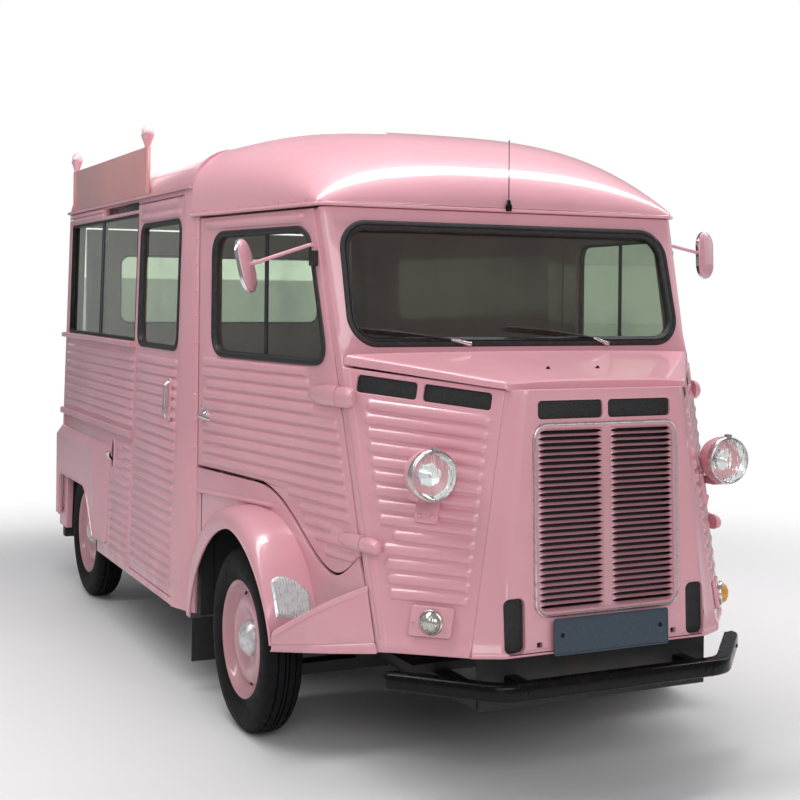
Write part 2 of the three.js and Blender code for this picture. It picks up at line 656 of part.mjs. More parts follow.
// The grille: a rounded frame, two columns of inclined slats and a bar between them.
function grille() {
  const g = FIT;
  const frameOuter = pushNose(
    (up) =>
      rounded(
        -GRILLE_HALF + g,
        up(GRILLE_FOOT_Z) + g,
        GRILLE_HALF - g,
        up(GRILLE_TOP_Z) - g,
        GRILLE_CORNER - g,
      ),
    -14,
    NOSE_SKIN,
  );
  const inner = GRILLE_HALF - GRILLE_FRAME;
  const frameInner = pushNose(
    (up) =>
      rounded(
        -inner,
        up(GRILLE_FOOT_Z) + GRILLE_FRAME,
        inner,
        up(GRILLE_TOP_Z) - GRILLE_FRAME,
        GRILLE_CORNER - GRILLE_FRAME,
      ),
    -20,
    NOSE_SKIN + 10,
  );
  const bar = pushNose(
    (up) =>
      outline([
        [-GRILLE_BAR / 2, up(GRILLE_FOOT_Z) + GRILLE_FRAME - 2],
        [GRILLE_BAR / 2, up(GRILLE_FOOT_Z) + GRILLE_FRAME - 2],
        [GRILLE_BAR / 2, up(GRILLE_TOP_Z) - GRILLE_FRAME + 2],
        [-GRILLE_BAR / 2, up(GRILLE_TOP_Z) - GRILLE_FRAME + 2],
      ]),
    -8,
    -FIT,
  );
  const foot = noseUp(GRILLE_FOOT_Z) + GRILLE_FRAME;
  const pitch = (noseUp(GRILLE_TOP_Z) - GRILLE_FRAME - foot) / SLAT_COUNT;
  const slats = Array.from({ length: SLAT_COUNT }, (_, k) => {
    const at = foot + (k + 0.5) * pitch + SLAT_DROP / 2;
    const section = outline([
      [0, at],
      [0, at - SLAT_THICKNESS],
      [-SLAT_DEPTH, at - SLAT_DROP - SLAT_THICKNESS],
      [-SLAT_DEPTH, at - SLAT_DROP],
    ]);
    return section;
  });
  // Each slat's section lies in the plane of the nose's depth and height, and is pushed across.
  const depth = X.clone().cross(NOSE_UP).negate();
  const bars = slats.map((section) =>
    push(mirrored(section), NOSE_FOOT, depth, NOSE_UP, -inner - 2, inner + 2),
  );
  add("grille", join(cut(frameOuter, frameInner), bar, ...bars), PINK);
}

// A shape turned left to right.
function mirrored(shape) {
  return outline(shape.getPoints().map((p) => [-p.x, p.y]));
}

// ---- Cab side plane and the door hinges ----
const CAB_BACK = point(CAB_TAPER, 1, 0).normalize();
const CAB_OUT = CAB_BACK.clone().cross(Z);
const CAB_FOOT = point(CAB_FRONT_X, 0, 0);
const cabU = (y) => y / CAB_BACK.y;

// A shape on the cab's side plane, measured rearwards and upwards, pushed between two depths.
const pushCab = (shape, inside, outside, steps) =>
  push(shape, CAB_FOOT, CAB_BACK, Z, inside, outside, steps);

// The doors' hinge axis runs beside the A-post, so a door rises a little as it opens.
const HINGE_AHEAD = 30;
const HINGE_OUT = 12;
const HINGE_AXIS = point(CAB_TAPER * RAKE, RAKE, 1).normalize();
const hingeY = (z) => screenY(z) - HINGE_AHEAD;
const HINGES = [
  { z: 1259, reach: 190 },
  { z: 793, reach: 180 },
];
const HINGE_RIGHT = CAB_OUT.clone().cross(HINGE_AXIS);
const EYE_RADIUS = 14;
const EYE_HALF = 28;
const LUG = { height: 11, gap: 0.6, reach: 44, foot: 22 };

function hingeAt(z) {
  const y = hingeY(z);
  return point(cabX(y), y, z).addScaledVector(CAB_OUT, HINGE_OUT);
}

// Above and below each eye, a lug reaches from the cheek to the hinge's pin.
function hingeLugs() {
  const shape = new THREE.Shape();
  shape.moveTo(-EYE_RADIUS, 0);
  shape.lineTo(-EYE_RADIUS, -LUG.reach);
  shape.lineTo(EYE_RADIUS + LUG.foot, -LUG.reach);
  shape.lineTo(EYE_RADIUS, 0);
  shape.absarc(0, 0, EYE_RADIUS, 0, Math.PI);
  const near = EYE_HALF + LUG.gap;
  const far = near + LUG.height;
  return HINGES.flatMap(({ z }) => [
    push(shape, hingeAt(z), HINGE_RIGHT, CAB_OUT, near, far),
    push(shape, hingeAt(z), HINGE_RIGHT, CAB_OUT, -far, -near),
  ]);
}

// ---- Cowl cheeks ----
// The cheek's outer face is ruled between the nose panel's side edge and the A-post line.
function cheekEdges(z) {
  const s = (z - NOSE_FOOT_Z) / NOSE_HEIGHT;
  const rise = Math.min(Math.max(s, 0), 1);
  const front = point(noseHalf(z) + FIT, noseY(z) + NOSE_RETURN, z);
  const top = (SCUTTLE_Z - 24 - CHEEK_FOOT_Z) * rise + CHEEK_FOOT_Z;
  const backY = screenY(top) - 2 * FIT;
  return [front, point(cabX(backY), backY, top)];
}

const VENT_Z = 1264;
const VENT_HALF = 28;
const VENT_CORNER = 12;
const VENT_DEPTH = 10;

const CHEEK_BEADS = { count: 14, low: NOSE_FOOT_Z + 76, start: 0.06, end: 0.94, taper: 0.04 };

// A point on the cheek at a height: a share of the way from the nose to the A-post, and outwards.
function onCheek(z, share, out) {
  const [front, back] = cheekEdges(z);
  const outward = back.clone().sub(front).cross(Z).normalize();
  return front.lerp(back, share).addScaledVector(outward, out);
}

// The cheek's body; a gap moves its outer face outwards, to cut what is bolted to it.
function cheekBody(gap) {
  // [height, how far the outer face lies out, share where it ends at the A-post]
  const levels = [
    [NOSE_FOOT_Z, -18, 0.95],
    [NOSE_FOOT_Z + 14, -5, 0.95],
    [NOSE_FOOT_Z + 36, 0, 1],
    [NOSE_TOP_Z - 4, 0, 1],
  ];
  const sheet = loft(
    levels.map(([z, out, end]) => {
      const [front] = cheekEdges(z);
      return [
        onCheek(z, 0, gap).add(point(0, Math.max(-out, 0), 0)),
        onCheek(z, end, out + gap),
        onCheek(z, 0.93, -CHEEK_SKIN),
        onCheek(z, 0.06, -CHEEK_SKIN),
        point(front.x, front.y + NOSE_SKIN + FIT, z),
      ];
    }),
  );
  const { count, low, start, end, taper } = CHEEK_BEADS;
  const beads = Array.from({ length: count }, (_, k) => {
    const z = low + k * BEAD_PITCH;
    const ring = (share, height) => [
      onCheek(z - BEAD_WIDTH / 2, share, gap - BEAD_ROOT),
      onCheek(z, share, height + gap),
      onCheek(z + BEAD_WIDTH / 2, share, gap - BEAD_ROOT),
      onCheek(z, share, gap - 4),
    ];
    return loft([
      ring(start, -BEAD_ROOT / 2),
      ring(start + taper, BEAD_HEIGHT),
      ring(end - taper, BEAD_HEIGHT),
      ring(end, -BEAD_ROOT / 2),
    ]);
  });
  return join(sheet, ...beads);
}

// Two recesses for the air inlets lie under the cheek's top edge, and a lug each side of the hinges' eyes.
const CHEEK_VENTS = [
  // shares of the way from the nose to the A-post
  [0.075, 0.485],
  [0.525, 0.905],
];

function cheek() {
  const [front, back] = cheekEdges(VENT_Z);
  const length = front.distanceTo(back);
  const along = back.clone().sub(front).normalize();
  const level = point(along.x, along.y, 0).normalize();
  const vents = CHEEK_VENTS.map(([from, to]) =>
    push(
      rounded(from * length, -VENT_HALF, to * length, VENT_HALF, VENT_CORNER),
      front,
      level,
      Z,
      -VENT_DEPTH,
      40,
    ),
  );
  pair("cowl_cheek", join(cut(cheekBody(0), ...vents), ...hingeLugs()), PINK);
}

// ---- Windscreen frame, bonnet and glass ----
const SCREEN_UP = point(0, RAKE, 1).normalize();
const SCREEN_FOOT = point(0, A_POST_Y, 0);
const screenUp = (z) => z / SCREEN_UP.z;

function pushScreen(makeShape, outside, inside) {
  return push(makeShape(screenUp), SCREEN_FOOT, X, SCREEN_UP, -inside, -outside);
}

// The frame carries on down as the two A-posts, to the foot of the cheeks.
function windscreen() {
  const footHalf = cabX(screenY(SCUTTLE_Z)) - FIT;
  const topHalf = cabX(screenY(HEADER_Z)) - FIT;
  const frame = pushScreen(
    (up) =>
      outline([
        [-footHalf, up(SCUTTLE_Z)],
        [footHalf, up(SCUTTLE_Z)],
        [topHalf, up(HEADER_Z - FIT)],
        [-topHalf, up(HEADER_Z - FIT)],
      ]),
    0,
    A_POST_DEPTH,
  );
  const hole = (gap, outside, inside) =>
    pushScreen(
      (up) =>
        rounded(
          -WINDSCREEN_HALF + gap,
          up(WINDSCREEN_FOOT_Z) + gap,
          WINDSCREEN_HALF - gap,
          up(WINDSCREEN_TOP_Z) - gap,
          WINDSCREEN_CORNER - gap,
        ),
      outside,
      inside,
    );
  const post = pushScreen(
    (up) =>
      outline([
        [cabX(screenY(CHEEK_FOOT_Z)) - A_POST_WIDTH, up(CHEEK_FOOT_Z)],
        [cabX(screenY(CHEEK_FOOT_Z)), up(CHEEK_FOOT_Z)],
        [footHalf, up(SCUTTLE_Z + 5)],
        [footHalf - A_POST_WIDTH, up(SCUTTLE_Z + 5)],
      ]),
    0,
    A_POST_DEPTH,
  );
  add("windscreen_frame", cut(join(frame, bothSides(post)), hole(0, -10, A_POST_DEPTH + 10)), PINK);
  add("windscreen", hole(FIT, GLASS_INSET, GLASS_INSET + GLASS), GLASSY);
}

// The bonnet lies between the cheeks' top edges, the nose panel's top and the windscreen's foot.
function bonnet() {
  const frontY = noseY(NOSE_TOP_Z) + NOSE_RETURN - 10;
  const rearY = screenY(SCUTTLE_Z) - SHUT;
  const rearHalf = cabX(rearY) - SHUT;
  const rows = [
    { y: frontY, z: NOSE_TOP_Z + SHUT, half: NOSE_TOP_HALF + 6 },
    { y: frontY + 60, z: NOSE_TOP_Z + 16, half: NOSE_TOP_HALF + 56 },
    { y: rearY, z: SCUTTLE_Z, half: rearHalf },
  ];
  const rings = rows.map(({ y, z, half }) => [
    point(-half, y, z),
    point(half, y, z),
    point(half, y, z + BONNET_SKIN),
    point(-half, y, z + BONNET_SKIN),
  ]);
  add("bonnet", loft(rings), PINK);
}

// ---- Cab doors ----
// The door's outline, shrunk by a border.
function doorOutline(border, gap) {
  const rear = cabU(CAB_REAR_Y) - gap - border;
  const top = HEADER_Z - gap - border;
  const foot = DOOR_FOOT_Z + border;
  const toe = DOOR_TOE_Z + border;
  const frontU = (z) => cabU(screenY(z) + A_POST_DEPTH + gap) + border;
  const shape = new THREE.Shape();
  shape.moveTo(rear, foot);
  shape.lineTo(rear, top);
  shape.lineTo(frontU(top), top);
  shape.lineTo(frontU(toe + DOOR_TOE_RISE), toe + DOOR_TOE_RISE);
  shape.quadraticCurveTo(cabU(DOOR_TOE_Y) - 60, toe, cabU(DOOR_TOE_Y) - border, toe);
  shape.bezierCurveTo(
    cabU(DOOR_TOE_Y + 160),
    toe,
    cabU(DOOR_STEP_Y - 260),
    foot,
    cabU(DOOR_STEP_Y) + border,
    foot,
  );
  shape.closePath();
  return shape;
}

function doorWindow(gap) {
  const frontU = (z) => cabU(screenY(z) + DOOR_WINDOW_FRONT) + gap;
  const low = DOOR_WINDOW_FOOT_Z + gap;
  const high = DOOR_WINDOW_TOP_Z - gap;
  const rear = cabU(DOOR_WINDOW_REAR_Y) - gap;
  const corners = [
    [rear, low],
    [rear, high],
    [frontU(high), high],
    [frontU(low), low],
  ];
  return softPolygon(corners, DOOR_WINDOW_CORNER);
}

function cabDoor() {
  const slab = pushCab(doorOutline(0, SHUT), -DOOR_THICKNESS, 0, 6);
  const wave = (low, high) =>
    push(
      outline(wavy(low, high, -4)),
      CAB_FOOT,
      CAB_OUT,
      Z,
      -cabU(CAB_REAR_Y),
      -cabU(A_POST_Y),
    );
  const beads = join(
    wave(DOOR_TOE_Z, DOOR_WINDOW_FOOT_Z),
    wave(DOOR_WINDOW_TOP_Z - 10, HEADER_Z),
  ).intersect(pushCab(doorOutline(BEAD_MARGIN, SHUT), -3, 30, 6));
  const hole = pushCab(doorWindow(0), -100, 100, 4);
  const straps = HINGES.map(({ z, reach }) => {
    const front = cabU(hingeY(z));
    const strap = outline([
      [front, z - 20],
      [front + reach, z - 34],
      [front + reach, z + 34],
      [front, z + 20],
    ]);
    return pushCab(strap, 6, 20);
  });
  const eyes = HINGES.map(({ z }) => {
    const eye = new THREE.CylinderGeometry(EYE_RADIUS, EYE_RADIUS, 2 * EYE_HALF, 12);
    eye.applyQuaternion(new THREE.Quaternion().setFromUnitVectors(Y, HINGE_AXIS));
    eye.translate(...hingeAt(z).toArray());
    return solid(eye);
  });
  pair("cab_door", join(cut(join(slab, beads), hole), ...straps, ...eyes), PINK);
  pair("cab_door_window", pushCab(doorWindow(FIT), -GLASS_INSET - GLASS, -GLASS_INSET, 4), GLASSY);
}

// ---- Roofs ----
// A half arch from the eaves to the crown, as [half width, height above the eaves] pairs.
function archPoints(half, radius, skin) {
  const corner = THREE.MathUtils.degToRad(ROOF_CORNER_ANGLE);
  const centre = half - radius;
  const joinX = centre + radius * Math.cos(corner);
  const crownRadius = joinX / Math.cos(corner);
  const crownZ = radius * Math.sin(corner) - crownRadius * Math.sin(corner);
  const pairs = [];
  for (let k = 0; k <= 6; k++) {
    const a = (corner * k) / 6;
    pairs.push([centre + (radius - skin) * Math.cos(a), (radius - skin) * Math.sin(a)]);
  }
  for (let k = 1; k <= 8; k++) {
    const a = corner + ((Math.PI / 2 - corner) * k) / 8;
    pairs.push([(crownRadius - skin) * Math.cos(a), crownZ + (crownRadius - skin) * Math.sin(a)]);
  }
  return pairs;
}

function cargoRoof() {
  const half = sideX(EAVES_Z);
  const ring = (skin, z) => {
    const right = archPoints(half, ROOF_CORNER_RADIUS, skin).map(([x, up]) => [x, z + up]);
    const left = right.slice(0, -1).reverse().map(([x, up]) => [-x, up]);
    return [...right, ...left];
  };
  const base = EAVES_Z + FIT;
  const outer = pushY(outline(ring(0, base)), CAB_ROOF_REAR_Y + FIT, REAR_Y);
  const hollow = outline([
    [half - ROOF_SKIN, base - 20],
    ...ring(ROOF_SKIN, base),
    [-half + ROOF_SKIN, base - 20],
  ]);
  const inner = pushY(hollow, CAB_ROOF_REAR_Y - 50, REAR_Y - REAR_SKIN);
  const gutters = [-1, 1].map((side) =>
    box(
      Math.min(side * (half - ROOF_SKIN), side * (half + GUTTER)),
      Math.max(side * (half - ROOF_SKIN), side * (half + GUTTER)),
      PILLAR_REAR_Y - 110,
      REAR_Y,
      base,
      base + GUTTER_HEIGHT,
    ),
  );
  const headerHalf = sideX(EAVES_Z) - CORNER_POST - FIT;
  const header = box(-headerHalf, headerHalf, REAR_Y - REAR_SKIN, REAR_Y, TAILGATE_TOP_Z + SHUT, base + 10);
  add("cargo_roof", join(cut(outer, inner), ...gutters, header), PINK);
}

// The cab roof's half section at a Y: a superellipse on the cab's width, rising from the header.
const ROOF_SECTIONS = [
  // [distance behind the header, superellipse exponent]
  [0, 2.4],
  [12, 2.4],
  [45, 2.45],
  [110, 2.5],
  [220, 2.6],
  [400, 2.75],
  [700, 3.0],
];
const ROOF_STEPS = 9;
const ROOF_EDGE = 14; // upright edge below the arch
const ROOF_LIP = 10; // roof's edge outside the cab's side

function cabRoofSolid(skin, drop) {
  const headerY = screenY(HEADER_Z) - 6;
  const length = CAB_ROOF_REAR_Y - headerY;
  const stations = [...ROOF_SECTIONS.filter(([back]) => back < length - 60), [length, 3.1]];
  const rings = stations.map(([back, power]) => {
    const along = (back * (length - skin)) / length;
    const y = headerY + skin + along + (back === length && skin > 0 ? 40 : 0);
    const t = Math.min(back / CAB_ROOF_RUN, 1);
    const height = (CAB_CROWN_Z - HEADER_Z) * Math.sqrt(1 - (1 - t) ** 2) - ROOF_EDGE - skin;
    const half = cabX(y) + ROOF_LIP - skin;
    const rise = Math.max(height, 4);
    const ring = [point(half, y, HEADER_Z - drop)]; // then over the arch and down to the other side
    for (let k = 0; k <= 2 * ROOF_STEPS; k++) {
      const a = (Math.PI * k) / (2 * ROOF_STEPS);
      const x = half * Math.sign(Math.cos(a)) * Math.abs(Math.cos(a)) ** (2 / power);
      const z = rise * Math.sin(a) ** (2 / power);
      ring.push(point(Math.abs(x) < 1e-6 ? 0 : x, y, HEADER_Z + ROOF_EDGE + z));
    }
    ring.push(point(-half, y, HEADER_Z - drop));
    return ring;
  });
  return loft(rings);
}

function cabRoof() {
  const shell = cut(cabRoofSolid(0, 0), cabRoofSolid(ROOF_SKIN, 40));
  add("cab_roof", shell, PINK);
}

// ---- Body sides ----
// A strip of the leaning cargo side between two heights.
function sideStrip(z0, z1, y0, y1, inside, outside) {
  return pushY(
    outline([
      [sideX(z0) + inside, z0],
      [sideX(z0) + outside, z0],
      [sideX(z1) + outside, z1],
      [sideX(z1) + inside, z1],
    ]),
    y0,
    y1,
  );
}

// Beads on the cargo side between two heights.
function sideBeads(z0, z1, y0, y1) {
  const pairs = wavy(z0, z1, -4).map(([out, z]) => [sideX(z) + out, z]);
  return pushY(outline(pairs), y0, y1);
}

function pillar() {
  const inner = point(cabX(CAB_REAR_Y), CAB_REAR_Y, 0).addScaledVector(CAB_OUT, -DOOR_THICKNESS);
  const ring = (z) => [
    point(cabX(CAB_REAR_Y), CAB_REAR_Y, z),
    point(sideX(z), PILLAR_REAR_Y, z),
    point(sideX(z) - SIDE_WALL, PILLAR_REAR_Y, z),
    point(inner.x, inner.y + 20, z),
    point(inner.x, inner.y, z),
  ];
  const underRoof = box(0, 2 * CARGO_HALF, 0, CAB_ROOF_REAR_Y + FIT, HEADER_Z - FIT, EAVES_Z + 50);
  return cut(loft([ring(SILL_Z), ring(EAVES_Z)]), underRoof);
}

function rearPost() {
  const ring = (z) => [
    point(sideX(z), REAR_Y - REAR_SKIN, z),
    point(sideX(z), REAR_Y, z),
    point(sideX(z) - CORNER_POST, REAR_Y, z),
    point(sideX(z) - CORNER_POST, REAR_Y - REAR_SKIN, z),
  ];
  return loft([ring(SILL_Z), ring(EAVES_Z)]);
}

function rearArchHole() {
  return pushX(
    rounded(REAR_AXLE_Y - REAR_ARCH_HALF, -100, REAR_AXLE_Y + REAR_ARCH_HALF, BODY_ARCH_Z, 120),
    CARGO_HALF - 200,
    CARGO_HALF + 200,
  );
}

function bodySides() {
  const wallStart = PILLAR_REAR_Y - 2;
  const end = REAR_Y - 4;
  const beadEnd = REAR_Y - 46;
  const fullWall = sideStrip(SILL_Z, EAVES_Z, wallStart, end, -SIDE_WALL, 0);
  const lowBeads = sideBeads(SILL_Z, SIDE_RAIL_Z, PILLAR_REAR_Y + BEAD_MARGIN, beadEnd);
  const highBeads = sideBeads(SIDE_RAIL_Z, EAVES_Z, PILLAR_REAR_Y + BEAD_MARGIN, beadEnd);
  const left = cut(join(fullWall, lowBeads, highBeads, pillar(), rearPost()), rearArchHole());
  add("body_side_left", left, PINK);

  const doorHole = sideStrip(
    SILL_Z + 30,
    EAVES_Z - 20,
    PILLAR_REAR_Y,
    SLIDE_REAR_Y,
    -SIDE_WALL - 20,
    40,
  );
  const windowHole = sideStrip(
    SERVING_FOOT_Z,
    SERVING_TOP_Z,
    SLIDE_REAR_Y + SERVING_BORDER,
    REAR_Y - SERVING_BORDER - REAR_SKIN,
    -SIDE_WALL - 20,
    40,
  );
  const beadStart = SLIDE_REAR_Y + BEAD_MARGIN;
  const rail = sideStrip(
    SIDE_RAIL_Z - SIDE_RAIL_HEIGHT / 2,
    SIDE_RAIL_Z + SIDE_RAIL_HEIGHT / 2,
    SLIDE_REAR_Y + 4,
    REAR_Y,
    -4,
    SIDE_RAIL_DEPTH,
  );
  const ledge = sideStrip(SERVING_FOOT_Z - 26, SERVING_FOOT_Z, SLIDE_REAR_Y + 4, REAR_Y, -4, 26);
  const right = cut(
    join(
      fullWall,
      sideBeads(SILL_Z, SIDE_RAIL_Z, beadStart, beadEnd),
      sideBeads(SIDE_RAIL_Z, SERVING_FOOT_Z - 26, beadStart, beadEnd),
      rail,
      ledge,
      pillar(),
      rearPost(),
    ),
    doorHole,
    windowHole,
    rearArchHole(),
  );
  add("body_side_right", right, PINK).scale.x = -1;
}

// The sliding door fills the opening behind the right pillar.
function slidingDoor() {
  const y0 = PILLAR_REAR_Y + 4;
  const y1 = SLIDE_REAR_Y - 4;
  const z0 = SILL_Z + 34;
  const z1 = EAVES_Z - 24;
  const slab = sideStrip(z0, z1, y0, y1, -SIDE_WALL, 0);
  const beads = join(
    sideBeads(z0, SLIDE_WINDOW_FOOT_Z - 6, y0 + BEAD_MARGIN, y1 - BEAD_MARGIN),
    sideBeads(SLIDE_WINDOW_TOP_Z - 20, z1, y0 + BEAD_MARGIN, y1 - BEAD_MARGIN),
  );
  const shape = (gap) =>
    rounded(
      y0 + SLIDE_WINDOW_BORDER + gap,
      SLIDE_WINDOW_FOOT_Z + gap,
      y1 - SLIDE_WINDOW_BORDER - gap,
      SLIDE_WINDOW_TOP_Z - gap,
      SLIDE_WINDOW_CORNER - gap,
    );
  const hole = pushX(shape(0), CARGO_HALF - 120, CARGO_HALF + 60);
  add("sliding_door", cut(join(slab, beads), hole), PINK).scale.x = -1;
  const pane = pushX(shape(FIT), CARGO_HALF - 120, CARGO_HALF + 60).intersect(
    sideStrip(z0, z1, y0, y1, -GLASS_INSET - GLASS, -GLASS_INSET),
  );
  add("sliding_door_window", pane, GLASSY).scale.x = -1;
}

// The serving window: two panes, one before the other, held by rails and a middle bar.
function servingWindow() {
  const y0 = SLIDE_REAR_Y + SERVING_BORDER + FIT;
  const y1 = REAR_Y - SERVING_BORDER - REAR_SKIN - FIT;
  const z0 = SERVING_FOOT_Z + FIT;
  const z1 = SERVING_TOP_Z - FIT;
  const middle = (y0 + y1) / 2;
  const rails = join(
    sideStrip(z0, z0 + 16, y0, y1, -SIDE_WALL, -4),
    sideStrip(z1 - 16, z1, y0, y1, -SIDE_WALL, -4),
    sideStrip(z0, z1, y0, y0 + 16, -SIDE_WALL, -4),
    sideStrip(z0, z1, y1 - 16, y1, -SIDE_WALL, -4),
    sideStrip(z0, z1, middle - 22, middle + 22, -SIDE_WALL + 2, -6),
  );
  const panes = join(
    sideStrip(z0, z1, y0, middle + 20, -14, -9),
    sideStrip(z0, z1, middle - 20, y1, -25, -20),
  );
  add("serving_window", join(rails, panes), GLASSY).scale.x = -1;
}

// ---- Rear fairings ----
// A pressed cover outside the rear wheel: its top is bevelled and its front slants back to the body.
function fairings() {
  const rear = REAR_Y - 2;
  const outerX = CARGO_HALF + FAIRING_OUT;
  const shell = (skin) => {
    const plan = outline([
      [CARGO_HALF - 40, FAIRING_FRONT_Y + skin],
      [CARGO_HALF + 4 - skin, FAIRING_FRONT_Y + skin],
      [outerX - skin, FAIRING_FLAT_Y + skin],
      [outerX - skin, rear - skin],
      [CARGO_HALF - 40, rear - skin],
    ]);
    const section = outline([
      [CARGO_HALF - 60, skin ? -10 : FAIRING_FOOT_Z],
      [outerX - skin, skin ? -10 : FAIRING_FOOT_Z],
      [outerX - skin, FAIRING_BEVEL_Z - skin],
      [CARGO_HALF + 6 - skin, FAIRING_TOP_Z - skin],
      [CARGO_HALF - 60, FAIRING_TOP_Z - skin],
    ]);
    return pushZ(plan, -20, FAIRING_TOP_Z).intersect(pushY(section, FAIRING_FRONT_Y - 20, REAR_Y + 20));
  };
  const opening = pushX(
    softPolygon(
      [
        [REAR_AXLE_Y - 400, 320],
        [REAR_AXLE_Y - 180, REAR_ARCH_Z],
        [REAR_Y - 90, REAR_ARCH_Z],
        [REAR_Y - 90, -200],
        [REAR_AXLE_Y - 400, -200],
      ],
      70,
    ),
    CARGO_HALF - 60,
    outerX + 20,
  );
  const bodyCut = sideStrip(0, 1200, FAIRING_FRONT_Y - 50, REAR_Y + 20, -300, BEAD_HEIGHT + FIT);
  pair("rear_fairing", cut(shell(0), shell(FLARE_SKIN), opening, bodyCut), PINK);
}

// ---- Rear doors ----
function rearEnd() {
  const half = sideX(EAVES_Z) - CORNER_POST - SHUT;
  const y0 = REAR_Y - REAR_SKIN;
  const gateShape = outline([
    [-half, TAILGATE_FOOT_Z + SHUT / 2],
    [half, TAILGATE_FOOT_Z + SHUT / 2],
    [half, TAILGATE_TOP_Z],
    [-half, TAILGATE_TOP_Z],
  ]);
  const paneShape = (gap) =>
    rounded(-half + 190 + gap, 1430 + gap, half - 190 - gap, 1830 - gap, 60 - gap);
  const gate = cut(pushY(gateShape, y0, REAR_Y), pushY(paneShape(0), y0 - 20, REAR_Y + 20));
  add("tailgate", gate, PINK);
  add("tailgate_window", pushY(paneShape(FIT), REAR_Y - GLASS_INSET - GLASS, REAR_Y - GLASS_INSET), GLASSY);
  const z1 = TAILGATE_FOOT_Z - SHUT / 2;
  const slab = box(SHUT / 2, half, y0, REAR_Y, REAR_DOOR_FOOT_Z, z1);
  const beadShape = outline(wavy(REAR_DOOR_FOOT_Z, z1, -4));
  const beads = push(beadShape, point(0, REAR_Y, 0), Y, Z, SHUT / 2 + BEAD_MARGIN, half - BEAD_MARGIN);
  pair("rear_door", join(slab, beads), PINK);
}

// ---- Front fenders ----
// A point on an oval, [Y, height]: t runs from its rear foot over the top to its front.
function ovalAt(t, { ahead, behind, rise, powerAhead, powerBehind }) {
  const across = Math.cos(Math.PI * t);
  const up = Math.sin(Math.PI * t);
  const power = 2 / (across > 0 ? powerBehind : powerAhead);
  const reach = across > 0 ? behind : -ahead;
  return [ARCH_Y + reach * Math.abs(across) ** power, ARCH_Z + rise * up ** power];
}

// A point between the flare's outline and the wheel opening.
function flareAt(t, inwards) {
  const [y0, z0] = ovalAt(t, FLARE);
  const [y1, z1] = ovalAt(t, OPENING);
  return [y0 + (y1 - y0) * inwards, z0 + (z1 - z0) * inwards];
}

const FLARE_ROWS = [
  // [share of the way in to the opening, share of the way out to the lip]
  [0, 0],
  [0.04, 0.45],
  [0.2, 0.8],
  [0.5, 0.98],
  [1, 1],
];
const FLARE_STEPS = 16;
const RIDGE = { front: 1000, frontZ: 826, rearZ: 806, high: 12, out: 5 };
const SEAM = { postZ: 630, lipY: 618, lipZ: 470, tipY: 640, tipZ: 402 }; // lower front extension

// A pressed flare round the wheel opening, joined to the panel under the door.
function flare() {
  const lipX = CARGO_HALF + FLARE_X;
  const rings = Array.from({ length: FLARE_STEPS + 1 }, (_, k) => {
    const t = (k / FLARE_STEPS) * FLARE_END;
    const row = (skin) =>
      FLARE_ROWS.map(([inwards, outwards]) => {
        const [y, z] = flareAt(t, inwards);
        const x = cabX(y) - 4;
        // The inner face lies nearer the wheel's middle, except at the lip.
        const toMiddle = point(0, ARCH_Y - y, ARCH_Z - z).setLength(inwards < 1 ? skin : 0);
        return point(x + (lipX - x) * outwards - skin, y, z).add(toMiddle);
      });
    return [...row(0), ...row(FLARE_SKIN).reverse()];
  });
  return loft(rings);
}

// Below the slanted seam, the fender's front runs from the A-post's foot out to the flare's lip.
function fenderTip() {
  const postY = screenY(CHEEK_FOOT_Z) + A_POST_DEPTH;
  const seamY = screenY(SEAM.postZ) + A_POST_DEPTH;
  const lipX = CARGO_HALF + FLARE_X;
  const outer = [
    point(cabX(seamY), seamY, SEAM.postZ),
    point(cabX(postY), postY, CHEEK_FOOT_Z - 8),
    point(lipX - 6, SEAM.lipY, SEAM.lipZ),
    point(lipX - 4, SEAM.tipY, SEAM.tipZ),
  ];
  const inner = outer.map((corner) => corner.clone().addScaledVector(CAB_BACK, FLARE_SKIN));
  return loft([
    [outer[0], outer[1], inner[1], inner[0]],
    [outer[2], outer[3], inner[3], inner[2]],
  ]);
}

function fender() {
  const rear = cabU(CAB_REAR_Y) - FIT;
  const frontU = (z) => cabU(screenY(z) + A_POST_DEPTH / SCREEN_UP.z);
  const toe = DOOR_TOE_Z + DOOR_TOE_RISE;
  const wing = outline([
    [rear, SILL_Z + 60],
    [rear, DOOR_FOOT_Z],
    [cabU(DOOR_STEP_Y) - 300, DOOR_FOOT_Z],
    [frontU(toe), toe],
    [frontU(SEAM.postZ), SEAM.postZ - 10],
    [cabU(SEAM.lipY), SEAM.lipZ - 10],
    [cabU(ARCH_Y - OPENING.ahead) + 90, SEAM.lipZ - 40],
  ]);
  const rim = Array.from({ length: 17 }, (_, k) => {
    const [y, z] = flareAt(k / 16, 0.07);
    return [cabU(y), z];
  });
  const opening = outline([[rim[0][0], -100], ...rim, [rim.at(-1)[0], -100]]);
  const ridge = outline([
    [cabU(RIDGE.front), RIDGE.frontZ],
    [rear, RIDGE.rearZ],
    [rear, RIDGE.rearZ - RIDGE.high],
    [cabU(RIDGE.front), RIDGE.frontZ - RIDGE.high],
  ]);
  const panel = join(cut(pushCab(wing, -16, 0), pushCab(opening, -60, 60)), pushCab(ridge, -4, RIDGE.out));
  const pillarSide = box(0, 2 * CARGO_HALF, CAB_REAR_Y - FIT, REAR_Y, 0, EAVES_Z);
  const post = pushCab(
    outline([
      [0, 0],
      [frontU(0) + FIT, 0],
      [frontU(HEADER_Z) + FIT, HEADER_Z],
      [0, HEADER_Z],
    ]),
    -400,
    400,
  );
  const door = pushCab(doorOutline(-DOOR_GAP, SHUT), -400, 400, 6);
  pair("front_fender", cut(join(panel, flare(), fenderTip()), pillarSide, post, door), PINK);
}

